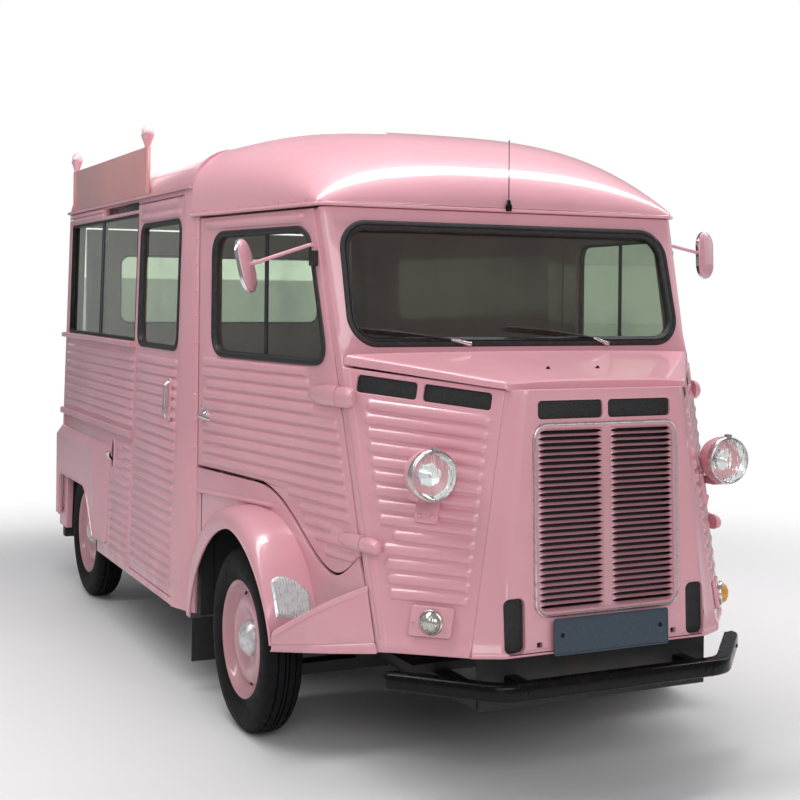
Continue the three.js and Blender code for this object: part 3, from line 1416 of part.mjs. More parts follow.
// ---- Bumper ----
const BUMPER_IRON_X = 330;
function bumper() {
  const wingX = BUMPER_HALF + BUMPER_WING_X;
  const wingY = BUMPER_Y + BUMPER_WING_Y;
  const shape = outline([
    [-BUMPER_HALF, BUMPER_Y],
    [BUMPER_HALF, BUMPER_Y],
    [wingX, wingY],
    [wingX - BUMPER_DEPTH, wingY + 6],
    [BUMPER_HALF - 22, BUMPER_Y + BUMPER_DEPTH],
    [-BUMPER_HALF + 22, BUMPER_Y + BUMPER_DEPTH],
    [-wingX + BUMPER_DEPTH, wingY + 6],
    [-wingX, wingY],
  ]);
  const bar = pushZ(shape, BUMPER_Z - BUMPER_HEIGHT / 2, BUMPER_Z + BUMPER_HEIGHT / 2);
  const irons = [-1, 1].map((side) =>
    box(
      side * BUMPER_IRON_X - 24,
      side * BUMPER_IRON_X + 24,
      BUMPER_Y + 10,
      BRACKET_Y - FIT,
      BUMPER_Z - 20,
      BUMPER_Z + 20,
    ),
  );
  add("front_bumper", join(bar, ...irons), BLACK);
}

// ---- Lamps and mirrors ----
const HEADLAMP = { x: 585, y: 96, z: 1037, radius: 84, depth: 126 };

function headlamps() {
  const r = HEADLAMP.radius;
  const profile = [
    [0, 0],
    [8, r * 0.7],
    [14, r],
    [34, r],
    [70, r * 0.84],
    [HEADLAMP.depth - 18, r * 0.42],
    [HEADLAMP.depth, 0],
  ];
  const bowl = new THREE.LatheGeometry(
    profile.map(([along, radius]) => new THREE.Vector2(radius, along)),
    14,
  );
  bowl.translate(HEADLAMP.x, HEADLAMP.y, HEADLAMP.z);
  const foot = box(
    HEADLAMP.x - 26,
    HEADLAMP.x + 26,
    HEADLAMP.y + 50,
    HEADLAMP.y + 240,
    HEADLAMP.z - r - 16,
    HEADLAMP.z - r + 24,
  );
  const bolted = join(solid(bowl), foot).subtract(cheekBody(FIT)).decompose();
  bolted.sort((a, b) => b.volume() - a.volume());
  pair("headlamp", bolted[0], PINK);
}

// Each mirror's rod rises from a clamp on the door's front edge and bends outwards. The two clamps and
// heads stand at their own heights and angles.
const MIRRORS = [
  // clamp and tip heights, then the head's turn about the upright and how far its top leans back, in degrees
  { name: "mirror_left", side: 1, clampZ: 1772, tipZ: 1781, turn: 25, lean: 2 },
  { name: "mirror_right", side: -1, clampZ: 1739, tipZ: 1692, turn: 50, lean: 13 },
];
const MIRROR_CLAMP = { width: 22, height: 54, depth: 24 };
const MIRROR_STEM = 24; // rod's rise from its clamp to the bend
const MIRROR_TIP_X = 1045;
const MIRROR_TIP_Y = 770;
const MIRROR_ROD = 7;
const MIRROR_HALF_WIDTH = 62;
const MIRROR_HALF_HEIGHT = 96;

function mirrors() {
  const { width, height, depth } = MIRROR_CLAMP;
  MIRRORS.forEach(({ name, side, clampZ, tipZ, turn: swivel, lean }) => {
    const y = screenY(clampZ) + A_POST_DEPTH + SHUT + width;
    const seat = point(cabX(y), y, clampZ).addScaledVector(CAB_OUT, FIT);
    const clamp = push(
      outline([
        [-width / 2, -height / 2],
        [width / 2, -height / 2],
        [width / 2, height / 2],
        [-width / 2, height / 2],
      ]),
      seat,
      CAB_BACK,
      Z,
      0,
      depth,
    );
    const foot = seat.clone().addScaledVector(CAB_OUT, depth / 2);
    const bend = foot.clone().addScaledVector(Z, height / 2 + MIRROR_STEM);
    const tip = point(MIRROR_TIP_X, MIRROR_TIP_Y, tipZ);
    const rise = new THREE.LineCurve3(foot, bend.clone().addScaledVector(Z, -18));
    const arm = bend.clone().addScaledVector(tip.clone().sub(bend).normalize(), 18);
    const path = new THREE.CurvePath();
    path.add(rise);
    path.add(new THREE.QuadraticBezierCurve3(rise.v2, bend, arm));
    path.add(new THREE.LineCurve3(arm, tip));
    const rod = solid(
      new THREE.ExtrudeGeometry(circle(MIRROR_ROD, 6), {
        steps: 10,
        bevelEnabled: false,
        extrudePath: path,
      }),
    );
    const head = new THREE.CylinderGeometry(1, 0.86, 20, 16);
    head.scale(MIRROR_HALF_WIDTH, 1, MIRROR_HALF_HEIGHT);
    head.rotateX(THREE.MathUtils.degToRad(-lean));
    head.rotateZ(THREE.MathUtils.degToRad(side * swivel));
    const at = bend.clone().lerp(tip, 0.8);
    head.translate(at.x, at.y + 10, at.z);
    add(name, join(clamp, rod, solid(head)), CHROME).scale.x = side;
  });
}

// ---- Lower lamps: a domed glass on an oblong plate, bolted to each cheek ----
const LOWER_LAMP = { z: 566, share: 0.42, radius: 40, plateWide: 150, plateHigh: 92, plateSkin: 14 };

function lowerLamps() {
  const { z, share, radius, plateWide, plateHigh, plateSkin } = LOWER_LAMP;
  const [front, back] = cheekEdges(z);
  const along = back.clone().sub(front).normalize();
  const flat = point(along.x, along.y, 0).normalize();
  const outward = flat.clone().cross(Z);
  const seat = front.clone().lerp(back, share).addScaledVector(outward, BEAD_HEIGHT + FIT);
  seat.z = z;
  const half = plateWide / 2;
  const plate = push(rounded(-half, -plateHigh / 2, half, plateHigh / 2, 8), seat, flat, Z, 0, plateSkin);
  const dome = new THREE.LatheGeometry(
    [
      [-4, 0],
      [-4, radius],
      [8, radius],
      [26, radius * 0.72],
      [36, 0],
    ].map(([out, r]) => new THREE.Vector2(r, out)),
    14,
  );
  dome.applyMatrix4(new THREE.Matrix4().makeBasis(flat, outward, Z.clone().negate()));
  dome.translate(...seat.clone().addScaledVector(outward, plateSkin).toArray());
  const bolted = join(plate, solid(dome)).subtract(cheekBody(FIT)).decompose();
  bolted.sort((a, b) => b.volume() - a.volume());
  pair("lower_lamp", bolted[0], PINK);
}

function circle(r, sides) {
  return outline(
    Array.from({ length: sides }, (_, k) => {
      const a = (2 * Math.PI * k) / sides;
      return [r * Math.cos(a), r * Math.sin(a)];
    }),
  );
}

// ---- Sign, seats, wheel and counter ----
const SIGN = { front: 2380, rear: 3940, top: 2280, thickness: 14 };

function signBoard() {
  const x = -(sideX(EAVES_Z) + 1 + SIGN.thickness / 2);
  const foot = EAVES_Z + 2 * FIT + GUTTER_HEIGHT;
  const board = box(x - SIGN.thickness / 2, x + SIGN.thickness / 2, SIGN.front, SIGN.rear, foot, SIGN.top);
  const cones = [SIGN.front + 30, SIGN.rear - 30].map((y) => {
    const profile = [
      [SIGN.top - 20, 0],
      [SIGN.top - 16, 10],
      [SIGN.top + 50, 30],
      [SIGN.top + 72, 32],
      [SIGN.top + 96, 18],
      [SIGN.top + 108, 0],
    ];
    const cone = new THREE.LatheGeometry(
      profile.map(([up, radius]) => new THREE.Vector2(radius, up)),
      10,
    );
    cone.rotateX(Math.PI / 2);
    cone.translate(x, y, 0);
    return solid(cone);
  });
  add("sign_board", join(board, ...cones), PINK);
}

function seats() {
  const z = CAB_FLOOR_Z + FIT;
  const shape = outline([
    [1190, z],
    [1590, z],
    [1640, z + 560],
    [1560, z + 560],
    [1500, z + 190],
    [1190, z + 170],
  ]);
  const seat = pushX(shape, WELL_INNER_X - 260, WELL_INNER_X + 150);
  pair("seat", seat, LEATHER);
}

function steeringWheel() {
  const ring = new THREE.TorusGeometry(205, 13, 6, 18);
  const spoke = new THREE.BoxGeometry(400, 26, 12);
  const column = new THREE.CylinderGeometry(20, 20, 420, 10);
  column.rotateX(Math.PI / 2);
  column.translate(0, 0, -210);
  const place = new THREE.Matrix4()
    .makeRotationX(THREE.MathUtils.degToRad(32))
    .setPosition(430, 900, 1330);
  const parts = [ring, spoke, column].map((g) => solid(g.applyMatrix4(place)));
  add("steering_wheel", join(...parts), BLACK);
}

function counter() {
  const x1 = -(sideX(SERVING_FOOT_Z) - SIDE_WALL - 6);
  const top = box(x1, x1 + 420, SLIDE_REAR_Y + 60, REAR_Y - 120, SERVING_FOOT_Z - 190, SERVING_FOOT_Z - 160);
  const carcass = box(
    x1 + 20,
    x1 + 400,
    SLIDE_REAR_Y + 90,
    REAR_Y - 150,
    REAR_WELL_TOP + FIT,
    SERVING_FOOT_Z - 189,
  );
  const plinth = box(
    x1 + 20,
    x1 + 400,
    SLIDE_REAR_Y + 90,
    REAR_AXLE_Y - REAR_WELL_HALF - 10,
    FLOOR_Z + FIT,
    REAR_WELL_TOP + 10,
  );
  add("serving_counter", join(top, carcass, plinth), ALUMINIUM);
}

wheels();
knuckles();
rearAxle();
platform();
cabFloor();
frontHousings();
rearHousings();
valance();
engine();
nosePanel();
grille();
cheek();
windscreen();
bonnet();
cabDoor();
cabRoof();
cargoRoof();
bodySides();
slidingDoor();
servingWindow();
fairings();
rearEnd();
fender();
bumper();
headlamps();
mirrors();
lowerLamps();
signBoard();
seats();
steeringWheel();
counter();

export default truck;
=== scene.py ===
"""A vintage corrugated food truck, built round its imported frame, in metres.

Points are written as in the frame's own drawing: the nose's foot is at Y = 0 and the rear wall at
Y = 4.106, and each finished mesh is moved forwards so that the middle of the truck lies at the origin.
Paired pieces are shaped on the truck's left, at +X, and mirrored.
"""
import math

import bmesh
import bpy
from mathutils import Matrix, Vector


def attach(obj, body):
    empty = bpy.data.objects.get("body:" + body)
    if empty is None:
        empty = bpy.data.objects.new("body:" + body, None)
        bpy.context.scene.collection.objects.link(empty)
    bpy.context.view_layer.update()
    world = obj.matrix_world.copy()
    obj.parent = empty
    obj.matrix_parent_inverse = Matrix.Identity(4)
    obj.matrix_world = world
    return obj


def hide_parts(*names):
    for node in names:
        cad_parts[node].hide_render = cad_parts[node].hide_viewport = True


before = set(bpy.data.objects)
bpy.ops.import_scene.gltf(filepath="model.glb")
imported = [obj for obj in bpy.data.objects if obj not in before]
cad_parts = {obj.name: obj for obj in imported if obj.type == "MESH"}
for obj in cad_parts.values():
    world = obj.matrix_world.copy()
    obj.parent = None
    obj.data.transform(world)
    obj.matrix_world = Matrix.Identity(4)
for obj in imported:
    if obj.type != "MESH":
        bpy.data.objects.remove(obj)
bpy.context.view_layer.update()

# ---- Studio: a camera at eye level before the truck's right front corner, a pale floor that fades to
# white, and soft lamps hung in rows overhead as in a hall.
camera = bpy.data.objects.new("camera", bpy.data.cameras.new("camera"))
bpy.context.scene.collection.objects.link(camera)
camera.data.lens = 62.577
camera.data.sensor_width = 36
camera.data.shift_x = -0.01205
camera.data.shift_y = -0.12714
azimuth, elevation, roll = (math.radians(angle) for angle in (-25.56698, 0.11888, 0.60881))
camera.matrix_world = (
    Matrix.Translation((-2.57147, -5.88139, 1.61153))
    @ Matrix.Rotation(azimuth, 4, "Z")
    @ Matrix.Rotation(math.pi / 2 - elevation, 4, "X")
    @ Matrix.Rotation(roll, 4, "Z")
)
bpy.context.scene.camera = camera
bpy.context.scene.view_settings.view_transform = "Standard"


class Wire:
    """An output of a shader node. Arithmetic on it adds Math nodes."""

    def __init__(self, paint, socket):
        self.paint = paint
        self.socket = socket

    def maths(self, operation, *values):
        return self.paint.node("ShaderNodeMath", {"operation": operation}, values)

    def __add__(self, other):
        return self.maths("ADD", self, other)

    def __sub__(self, other):
        return self.maths("SUBTRACT", self, other)

    def __rsub__(self, other):
        return self.maths("SUBTRACT", other, self)

    def __mul__(self, other):
        return self.maths("MULTIPLY", self, other)

    __radd__ = __add__
    __rmul__ = __mul__

    def ramp(self, low, high):
        """0 below low, 1 above high and a soft rise between them."""
        settings = {"interpolation_type": "SMOOTHSTEP"}
        return self.paint.node("ShaderNodeMapRange", settings, [self, low, high])


class Paint:
    """A material: a Principled shader, and nodes that are added by one method. It also keeps the name of a slot."""

    def __init__(self, name, finish, slot="body_pink"):
        self.slot = slot
        self.material = bpy.data.materials.new(name)
        self.material.use_nodes = True
        self.tree = self.material.node_tree
        self.shader = self.tree.nodes["Principled BSDF"]
        self.set(finish)

    def set(self, finish):
        for key, value in finish.items():
            self.join(self.shader.inputs[key], value)

    def join(self, socket, value):
        if isinstance(value, Wire):
            self.tree.links.new(value.socket, socket)
        else:
            socket.default_value = value

    def node(self, kind, settings=(), values=(), output=0):
        made = self.tree.nodes.new(kind)
        for key, value in dict(settings).items():
            setattr(made, key, value)
        pairs = values.items() if isinstance(values, dict) else enumerate(values)
        for key, value in pairs:
            self.join(made.inputs[key], value)
        return Wire(self, made.outputs[output])

    def place(self, stretch=(1, 1, 1)):
        """The point on the piece, in metres, stretched along each axis."""
        point = self.node("ShaderNodeTexCoord", output="Object")
        return self.node("ShaderNodeMapping", {}, {"Vector": point, "Scale": stretch})

    def height(self):
        point = self.node("ShaderNodeTexCoord", output="Object")
        return self.node("ShaderNodeSeparateXYZ", {}, [point], "Z")

    def noise(self, scale, detail, stretch=(1, 1, 1)):
        values = {"Vector": self.place(stretch), "Scale": scale, "Detail": detail}
        return self.node("ShaderNodeTexNoise", {}, values, "Fac")

    def mix(self, share, below, above):
        settings = {"data_type": "RGBA"}
        return self.node("ShaderNodeMix", settings, {0: share, 6: below, 7: above}, 2)

    def bump(self, height, distance, strength, under=None):
        values = {"Height": height, "Distance": distance, "Strength": strength}
        if under:
            values["Normal"] = under
        return self.node("ShaderNodeBump", {}, values)

    def worn(self, patches, sound, bare, rough, share=1.0):
        """Patches of wear, given by their scale and detail and the noise where they begin and are full.
        rough is the sound surface's roughness and what wear adds; share is how far the colour goes."""
        scale, detail, low, high = patches
        wear = self.noise(scale, detail).ramp(low, high)
        self.set({"Base Color": self.mix(wear * share, sound, bare)})
        self.set({"Roughness": rough[0] + wear * rough[1]})

    def grain(self, scale, detail, distance, strength, stretch=(1, 1, 1)):
        """A fine relief all over the piece."""
        self.set({"Normal": self.bump(self.noise(scale, detail, stretch), distance, strength)})


def lamp(name, at, toward, wide, long, power):
    data = bpy.data.lights.new(name, "AREA")
    data.shape = "RECTANGLE"
    data.size = wide
    data.size_y = long
    data.energy = power
    made = bpy.data.objects.new(name, data)
    bpy.context.scene.collection.objects.link(made)
    aim = (Vector(toward) - Vector(at)).to_track_quat("-Z", "Y")
    made.matrix_world = Matrix.Translation(at) @ aim.to_matrix().to_4x4()


for row, across in enumerate((-2.5, -0.1, 2.4)):
    lamp(f"hall_row_{row}", (across, -0.5, 5.4), (across * 0.4, -0.5, 0), 0.9, 9.0, 148)
lamp("front_window", (-1.8, -8.6, 4.4), (0, -1.0, 1.2), 6.0, 3.6, 270)
lamp("side_window", (-8.5, 1.5, 3.2), (0, 0.5, 1.0), 6.0, 3.4, 6)
lamp("far_window", (8.0, -1.0, 3.4), (0, 0, 1.0), 6.0, 3.4, 45)
lamp("rear_window", (1.5, 9.0, 3.4), (0, 1.0, 1.0), 5.0, 3.4, 80)

# The camera and clear glass see the hall as plain white; it lights the truck less than that.
world = bpy.data.worlds.new("hall")
world.use_nodes = True
bpy.context.scene.world = world
air = world.node_tree
hall = air.nodes["Background"]
hall.inputs["Color"].default_value = (0.93, 0.95, 1.0, 1)
hall.inputs["Strength"].default_value = 0.27
white = air.nodes.new("ShaderNodeBackground")
white.inputs["Color"].default_value = (1, 1, 1, 1)
seen = air.nodes.new("ShaderNodeLightPath")
shown = air.nodes.new("ShaderNodeMath")
shown.operation = "MAXIMUM"
air.links.new(seen.outputs["Is Camera Ray"], shown.inputs[0])
air.links.new(seen.outputs["Is Transmission Ray"], shown.inputs[1])
either = air.nodes.new("ShaderNodeMixShader")
air.links.new(shown.outputs[0], either.inputs[0])
air.links.new(hall.outputs[0], either.inputs[1])
air.links.new(white.outputs[0], either.inputs[2])
air.links.new(either.outputs[0], air.nodes["World Output"].inputs["Surface"])

FLOOR_REACH = 40.0
FLOOR_FADE = (2.6, 5.2)
floor_mesh = bmesh.new()
bmesh.ops.create_circle(floor_mesh, cap_ends=True, segments=96, radius=FLOOR_REACH)
floor_data = bpy.data.meshes.new("floor")
floor_mesh.to_mesh(floor_data)
floor_mesh.free()
floor = bpy.data.objects.new("floor", floor_data)
bpy.context.scene.collection.objects.link(floor)
floor_paint = Paint("pale_floor", {"Base Color": (0.76, 0.76, 0.76, 1), "Roughness": 0.7})
reach = floor_paint.node("ShaderNodeVectorMath", {"operation": "LENGTH"}, [floor_paint.place()], "Value")
glow = floor_paint.node("ShaderNodeEmission", {}, {"Color": (1, 1, 1, 1), "Strength": 1.0})
rays = ("Is Camera Ray", "Is Transmission Ray")
seeing = [floor_paint.node("ShaderNodeLightPath", {}, [], ray) for ray in rays]
fading = floor_paint.tree.nodes.new("ShaderNodeMixShader")
floor_paint.join(fading.inputs[0], reach.ramp(*FLOOR_FADE) * seeing[0].maths("MAXIMUM", *seeing))
floor_paint.tree.links.new(floor_paint.shader.outputs[0], fading.inputs[1])
floor_paint.join(fading.inputs[2], glow)
floor_paint.tree.links.new(fading.outputs[0], floor_paint.tree.nodes["Material Output"].inputs[0])
floor_data.materials.append(floor_paint.material)

# ---- Cargo sides: pressed steel sheets whose beads run lengthwise, spot-welded to a post at each end.
# The right side has the sliding door's opening and the serving window's.
CENTRE = 2.020
BEAD_PITCH = 0.044
BEAD_WIDTH = 0.036
BEAD_HEIGHT = 0.0105
BEAD_MARGIN = 0.024
SILL = 0.300
EAVES = 2.046
RAIL = 0.945
PILLAR_REAR = 1.825
SLIDE_REAR = 2.540
REAR = 4.106
REAR_AXLE = 3.556
SERVING_FOOT = 1.384
SERVING_TOP = 1.984


def enamel(name, colour, deep, slot="body_pink"):
    """Gloss enamel over hand-beaten steel: a faint ripple, orange peel and road dust low down."""
    paint = Paint(name, {"Roughness": 0.34, "Coat Weight": 0.7, "Coat Roughness": 0.07, "IOR": 1.45}, slot)
    patches = paint.noise(2.3, 3.0)
    dust = (0.62 - paint.height()).ramp(0.0, 0.42) * paint.noise(9.0, 5.0).ramp(0.35, 0.75)
    tint = paint.mix(patches.ramp(0.3, 0.7), colour, deep)
    paint.set({"Base Color": paint.mix(dust * 0.4, tint, (0.36, 0.24, 0.23, 1))})
    paint.set({"Roughness": 0.3 + dust * 0.3 + paint.noise(45.0, 2.0) * 0.08})
    ripple = paint.bump(paint.noise(7.0, 1.5), 0.006, 0.35)
    peel = paint.bump(paint.noise(420.0, 1.0), 0.0004, 0.25, ripple)
    paint.set({"Normal": peel})
    return paint


PINK = enamel("pink_enamel", (0.70, 0.345, 0.395, 1), (0.66, 0.315, 0.365, 1))


def piece(name, mesh, paint, body="body", stands_for=(), slot=None, crease=30):
    """Joins what meets, turns the faces outwards and gives the finished mesh to the frame."""
    bmesh.ops.remove_doubles(mesh, verts=mesh.verts, dist=2e-5)
    bmesh.ops.translate(mesh, vec=(0, -CENTRE, 0), verts=mesh.verts)
    bmesh.ops.recalc_face_normals(mesh, faces=mesh.faces)
    data = bpy.data.meshes.new(name)
    mesh.to_mesh(data)
    mesh.free()
    data.materials.append(paint.material)
    data.shade_smooth()
    data.set_sharp_from_angle(angle=math.radians(crease))
    made = bpy.data.objects.new(name, data)
    bpy.context.scene.collection.objects.link(made)
    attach(made, body)
    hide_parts(*stands_for)
    if slot is None:
        slot = paint.slot
    return made


def on_right(mesh):
    """The mesh turned left to right."""
    bmesh.ops.scale(mesh, vec=(-1, 1, 1), verts=mesh.verts)
    return mesh


def pair(name, mesh, paint, body="body", stands_for=(), **rest):
    """The piece on both sides: each {} in a body's or a node's name is left or right."""
    for side in ("left", "right"):
        half = mesh.copy() if side == "left" else on_right(mesh)
        taken = [node.format(side) for node in stands_for]
        piece(f"{name}_{side}", half, paint, body.format(side), taken, **rest)


def drawn(rings, capped=True, into=None):
    """A skin pulled through rings of points: the first ring's edges are extruded from one to the next."""
    mesh = into or bmesh.new()
    corner = mesh.verts.layers.int.get("corner") or mesh.verts.layers.int.new("corner")
    verts = [mesh.verts.new(point) for point in rings[0]]
    for index, vert in enumerate(verts):
        vert[corner] = index
    edges = [mesh.edges.new(ends) for ends in zip(verts, verts[1:] + verts[:1])]
    first = edges
    for ring in rings[1:]:
        made = bmesh.ops.extrude_edge_only(mesh, edges=edges)["geom"]
        fresh = {item for item in made if isinstance(item, bmesh.types.BMVert)}
        for vert in fresh:
            vert.co = ring[vert[corner]]
        edges = [e for e in made if isinstance(e, bmesh.types.BMEdge) and fresh.issuperset(e.verts)]
    if capped:
        for lid in (first, edges):
            bmesh.ops.edgeloop_fill(mesh, edges=lid)
    return mesh


def mitres(line, closed=True):
    """The outward direction at each corner of a line that runs anticlockwise, lengthened at its bends."""
    ways = []
    count = len(line)
    for index, (u, v) in enumerate(line):
        before = line[index - 1] if closed or index else None
        after = line[(index + 1) % count] if closed or index + 1 < count else None
        sides = []
        for start, end in ((before, (u, v)), ((u, v), after)):
            if start and end:
                run = math.hypot(end[0] - start[0], end[1] - start[1])
                sides.append(Vector(((end[1] - start[1]) / run, (start[0] - end[0]) / run)))
        mean = sum(sides, Vector((0, 0))).normalized()
        ways.append(mean / max(mean.dot(sides[0]), 0.3))
    return ways


def moulding(line, section, place, closed=True):
    """A strip drawn along a line on a panel. Its section is a closed loop: steps outwards, then up."""
    rings = [
        [place(u + way.x * out, v + way.y * out, up) for out, up in section]
        for (u, v), way in zip(line, mitres(line, closed))
    ]
    return drawn(rings + rings[:1] * closed, capped=not closed)


def pressed(loops, place, rows=(), cuts=(), relief=None, radius=0.003, depth=0.03):
    """A sheet cut to its outline and openings, pressed along its rows, its edges turned in over a radius.
    A row is (height, start, end); a cut is a line that the relief needs, as a point and a normal."""
    mesh = bmesh.new()
    corner = mesh.verts.layers.int.new("corner")
    edges = []
    for loop in loops:
        verts = [mesh.verts.new((u, v, 0)) for u, v in loop]
        edges += [mesh.edges.new(ends) for ends in zip(verts, verts[1:] + verts[:1])]
    bmesh.ops.triangle_fill(mesh, edges=edges, use_beauty=True, normal=(0, 0, 1))
    bmesh.ops.dissolve_limit(mesh, angle_limit=0.005, verts=mesh.verts, edges=mesh.edges)
    half = BEAD_WIDTH / 2
    shares = (-1, -0.72, -0.4, 0, 0.4, 0.72, 1)
    lines = [((0, v + half * share), (0, 1)) for v, _, _ in rows for share in shares]
    for (u, v), (across, up) in [*lines, *cuts]:
        whole = mesh.verts[:] + mesh.edges[:] + mesh.faces[:]
        where = {"plane_co": (u, v, 0), "plane_no": (across, up, 0)}
        bmesh.ops.bisect_plane(mesh, geom=whole, dist=1e-5, **where)
    for v, start, end in rows:
        faces = [face for face in mesh.faces if abs(face.calc_center_median().y - v) < half]
        strip = list({item for face in faces for item in (*face.verts, *face.edges, face)})
        for share in (0, 0.3, 0.65, 1):
            for u in (start + half * share, end - half * share):
                where = {"plane_co": (u, v, 0), "plane_no": (1, 0, 0)}
                strip = bmesh.ops.bisect_plane(mesh, geom=strip, dist=1e-5, **where)["geom"]

    def bead(u, v):
        for at, start, end in rows:
            if abs(v - at) < half:
                past = max(start + half - u, u - end + half, 0)
                far = min(math.hypot(past, v - at) / half, 1)
                return BEAD_HEIGHT * (1 - far * far) ** 0.8
        return 0

    for vert in mesh.verts:
        u, v, _ = vert.co
        vert.co.z = bead(u, v) + (relief(u, v) if relief else 0)
    mesh.normal_update()
    bmesh.ops.reverse_faces(mesh, faces=[face for face in mesh.faces if face.normal.z < 0])
    ways = {}
    rim = [edge for edge in mesh.edges if edge.is_boundary]
    for edge in rim:
        loop = edge.link_loops[0]
        run = (loop.link_loop_next.vert.co - loop.vert.co).xy.normalized()
        for vert in edge.verts:
            ways.setdefault(vert, []).append(Vector((run.y, -run.x, 0)))
    foot = []
    for vert, sides in ways.items():
        mean = sum(sides, Vector()).normalized()
        mean /= max(mean.dot(sides[0]), 0.4)
        vert[corner] = len(foot)
        foot.append((vert.co.copy(), mean))
        vert.co -= mean * radius
    for angle in (30, 60, 90, None):
        made = bmesh.ops.extrude_edge_only(mesh, edges=rim)["geom"]
        fresh = {item for item in made if isinstance(item, bmesh.types.BMVert)}
        for vert in fresh:
            at, way = foot[vert[corner]]
            if angle is None:
                vert.co = (at.x, at.y, min(at.z - radius, 0) - depth + radius)
            else:
                turn = math.radians(angle)
                vert.co = at - way * radius * (1 - math.sin(turn))
                vert.co.z = at.z - radius * (1 - math.cos(turn))
        rim = [e for e in made if isinstance(e, bmesh.types.BMEdge) and fresh.issuperset(e.verts)]
    bmesh.ops.triangle_fill(mesh, edges=rim, use_beauty=True, normal=(0, 0, -1))
    for vert in mesh.verts:
        vert.co = place(*vert.co)
    return mesh


def rows_between(low, high, ends):
    """Beads at one pitch between two heights; ends gives a bead's start and end at its height."""
    count = int((high - low - 2 * BEAD_MARGIN + BEAD_PITCH - BEAD_WIDTH) / BEAD_PITCH)
    first = (low + high - (count - 1) * BEAD_PITCH) / 2
    return [(first + k * BEAD_PITCH, *ends(first + k * BEAD_PITCH)) for k in range(count)]


def rounded(u0, v0, u1, v1, radius, steps):
    """A rectangle's outline with rounded corners, anticlockwise."""
    line = []
    for u, v, start in ((u1, v0, -90), (u1, v1, 0), (u0, v1, 90), (u0, v0, 180)):
        centre_u = u - math.copysign(radius, u - (u0 + u1) / 2)
        centre_v = v - math.copysign(radius, v - (v0 + v1) / 2)
        for k in range(steps + 1):
            turn = math.radians(start + 90 * k / steps)
            line.append((centre_u + radius * math.cos(turn), centre_v + radius * math.sin(turn)))
    return line


def side_x(z):
    """The cargo side's outer face at a height: it leans in a little."""
    return 0.929 + 0.025 * (1.0 - z)


def on_side(y, z, out):
    return Vector((side_x(z) + out, y, z))


ARCH = [(REAR_AXLE + 0.372, SILL)]
ARCH += [
    (REAR_AXLE + 0.252 + 0.12 * math.cos(a), 0.584 + 0.12 * math.sin(a))
    for a in (math.radians(15 * k) for k in range(7))
]
ARCH += [(2 * REAR_AXLE - y, z) for y, z in reversed(ARCH)]
BEAD_END = REAR - 0.062


def side_rows(start, low, high):
    """The rows stop short of the fairing, those at its slanted top before those below it."""
    return rows_between(low, high, lambda z: (start, 2.93 if z <= 0.72 else 2.72 if z < 0.90 else BEAD_END))


left_outline = [(PILLAR_REAR, SILL), *reversed(ARCH), (REAR, SILL), (REAR, EAVES), (PILLAR_REAR, EAVES)]
left_rows = side_rows(PILLAR_REAR + 0.024, SILL, RAIL) + side_rows(PILLAR_REAR + 0.024, RAIL, EAVES)
left_side = pressed([left_outline], on_side, left_rows, depth=0.032)
piece("side_panel_left", left_side, PINK, stands_for=["body_side_left"])

SERVING_HOLE = (SLIDE_REAR + 0.034, SERVING_FOOT, REAR - 0.068, SERVING_TOP)
SLOT_HOLE = (SLIDE_REAR + 0.040, SERVING_TOP + 0.016, 3.252, EAVES - 0.008)
right_outline = [
    *left_outline[:-1],
    (PILLAR_REAR, EAVES),
    (PILLAR_REAR, EAVES - 0.020),
    (SLIDE_REAR, EAVES - 0.020),
    (SLIDE_REAR, SILL + 0.030),
    (PILLAR_REAR, SILL + 0.030),
]
right_rows = side_rows(SLIDE_REAR + 0.024, SILL, RAIL)
right_rows += side_rows(SLIDE_REAR + 0.024, RAIL, SERVING_FOOT - 0.026)
serving_hole = rounded(*SERVING_HOLE, 0.012, 3)[::-1]
slot_hole = rounded(*SLOT_HOLE, 0.004, 2)[::-1]
right_rows += [(SERVING_TOP + 0.020, 3.262, BEAD_END + 0.02), (SERVING_TOP + 0.0435, 3.262, BEAD_END + 0.02)]
right_loops = [right_outline, serving_hole, slot_hole]
right_side = pressed(right_loops, on_side, right_rows, radius=0.002, depth=0.032)
piece("side_panel_right", on_right(right_side), PINK, stands_for=["body_side_right"])

# The rubbing rail and the serving ledge: folded strips along the right side, screwed on from inside.
def rib(out, high, turn=0.005):
    """The section of a folded strip, rounded at its two edges: steps across it, then out."""
    half = high / 2
    top = [(-half, -0.004), (-half, out - turn), (turn - half, out), (half - turn, out)]
    return [*top, (half, out - turn), (half, -0.004)]


def along_side(y0, y1, z, out, high):
    return moulding([(y0, z), (y1, z)], rib(out, high), on_side, closed=False)


piece("side_rail_right", on_right(along_side(SLIDE_REAR + 0.004, REAR, RAIL, 0.019, 0.034)), PINK)
ledge_z = SERVING_FOOT - 0.013
piece("serving_ledge", on_right(along_side(SLIDE_REAR + 0.004, REAR, ledge_z, 0.026, 0.026)), PINK)

# Pillars: a folded corner sheet from the cab door's shut face out to the cargo side, and a corner post
# at the rear, both rounded over their outer edges and riveted to the sides.
CAB_REAR = 1.650
CAB_SKIN = 0.038
CAB_TAPER = 0.148
cab_back = Vector((CAB_TAPER, 1, 0)).normalized()
cab_out = cab_back.cross(Vector((0, 0, 1)))
HEADER = 1.925
CAB_ROOF_REAR = 1.705


def cab_x(y):
    """The cab side's outer face at a distance behind the nose: the cab widens to the rear."""
    return 0.648 + CAB_TAPER * y


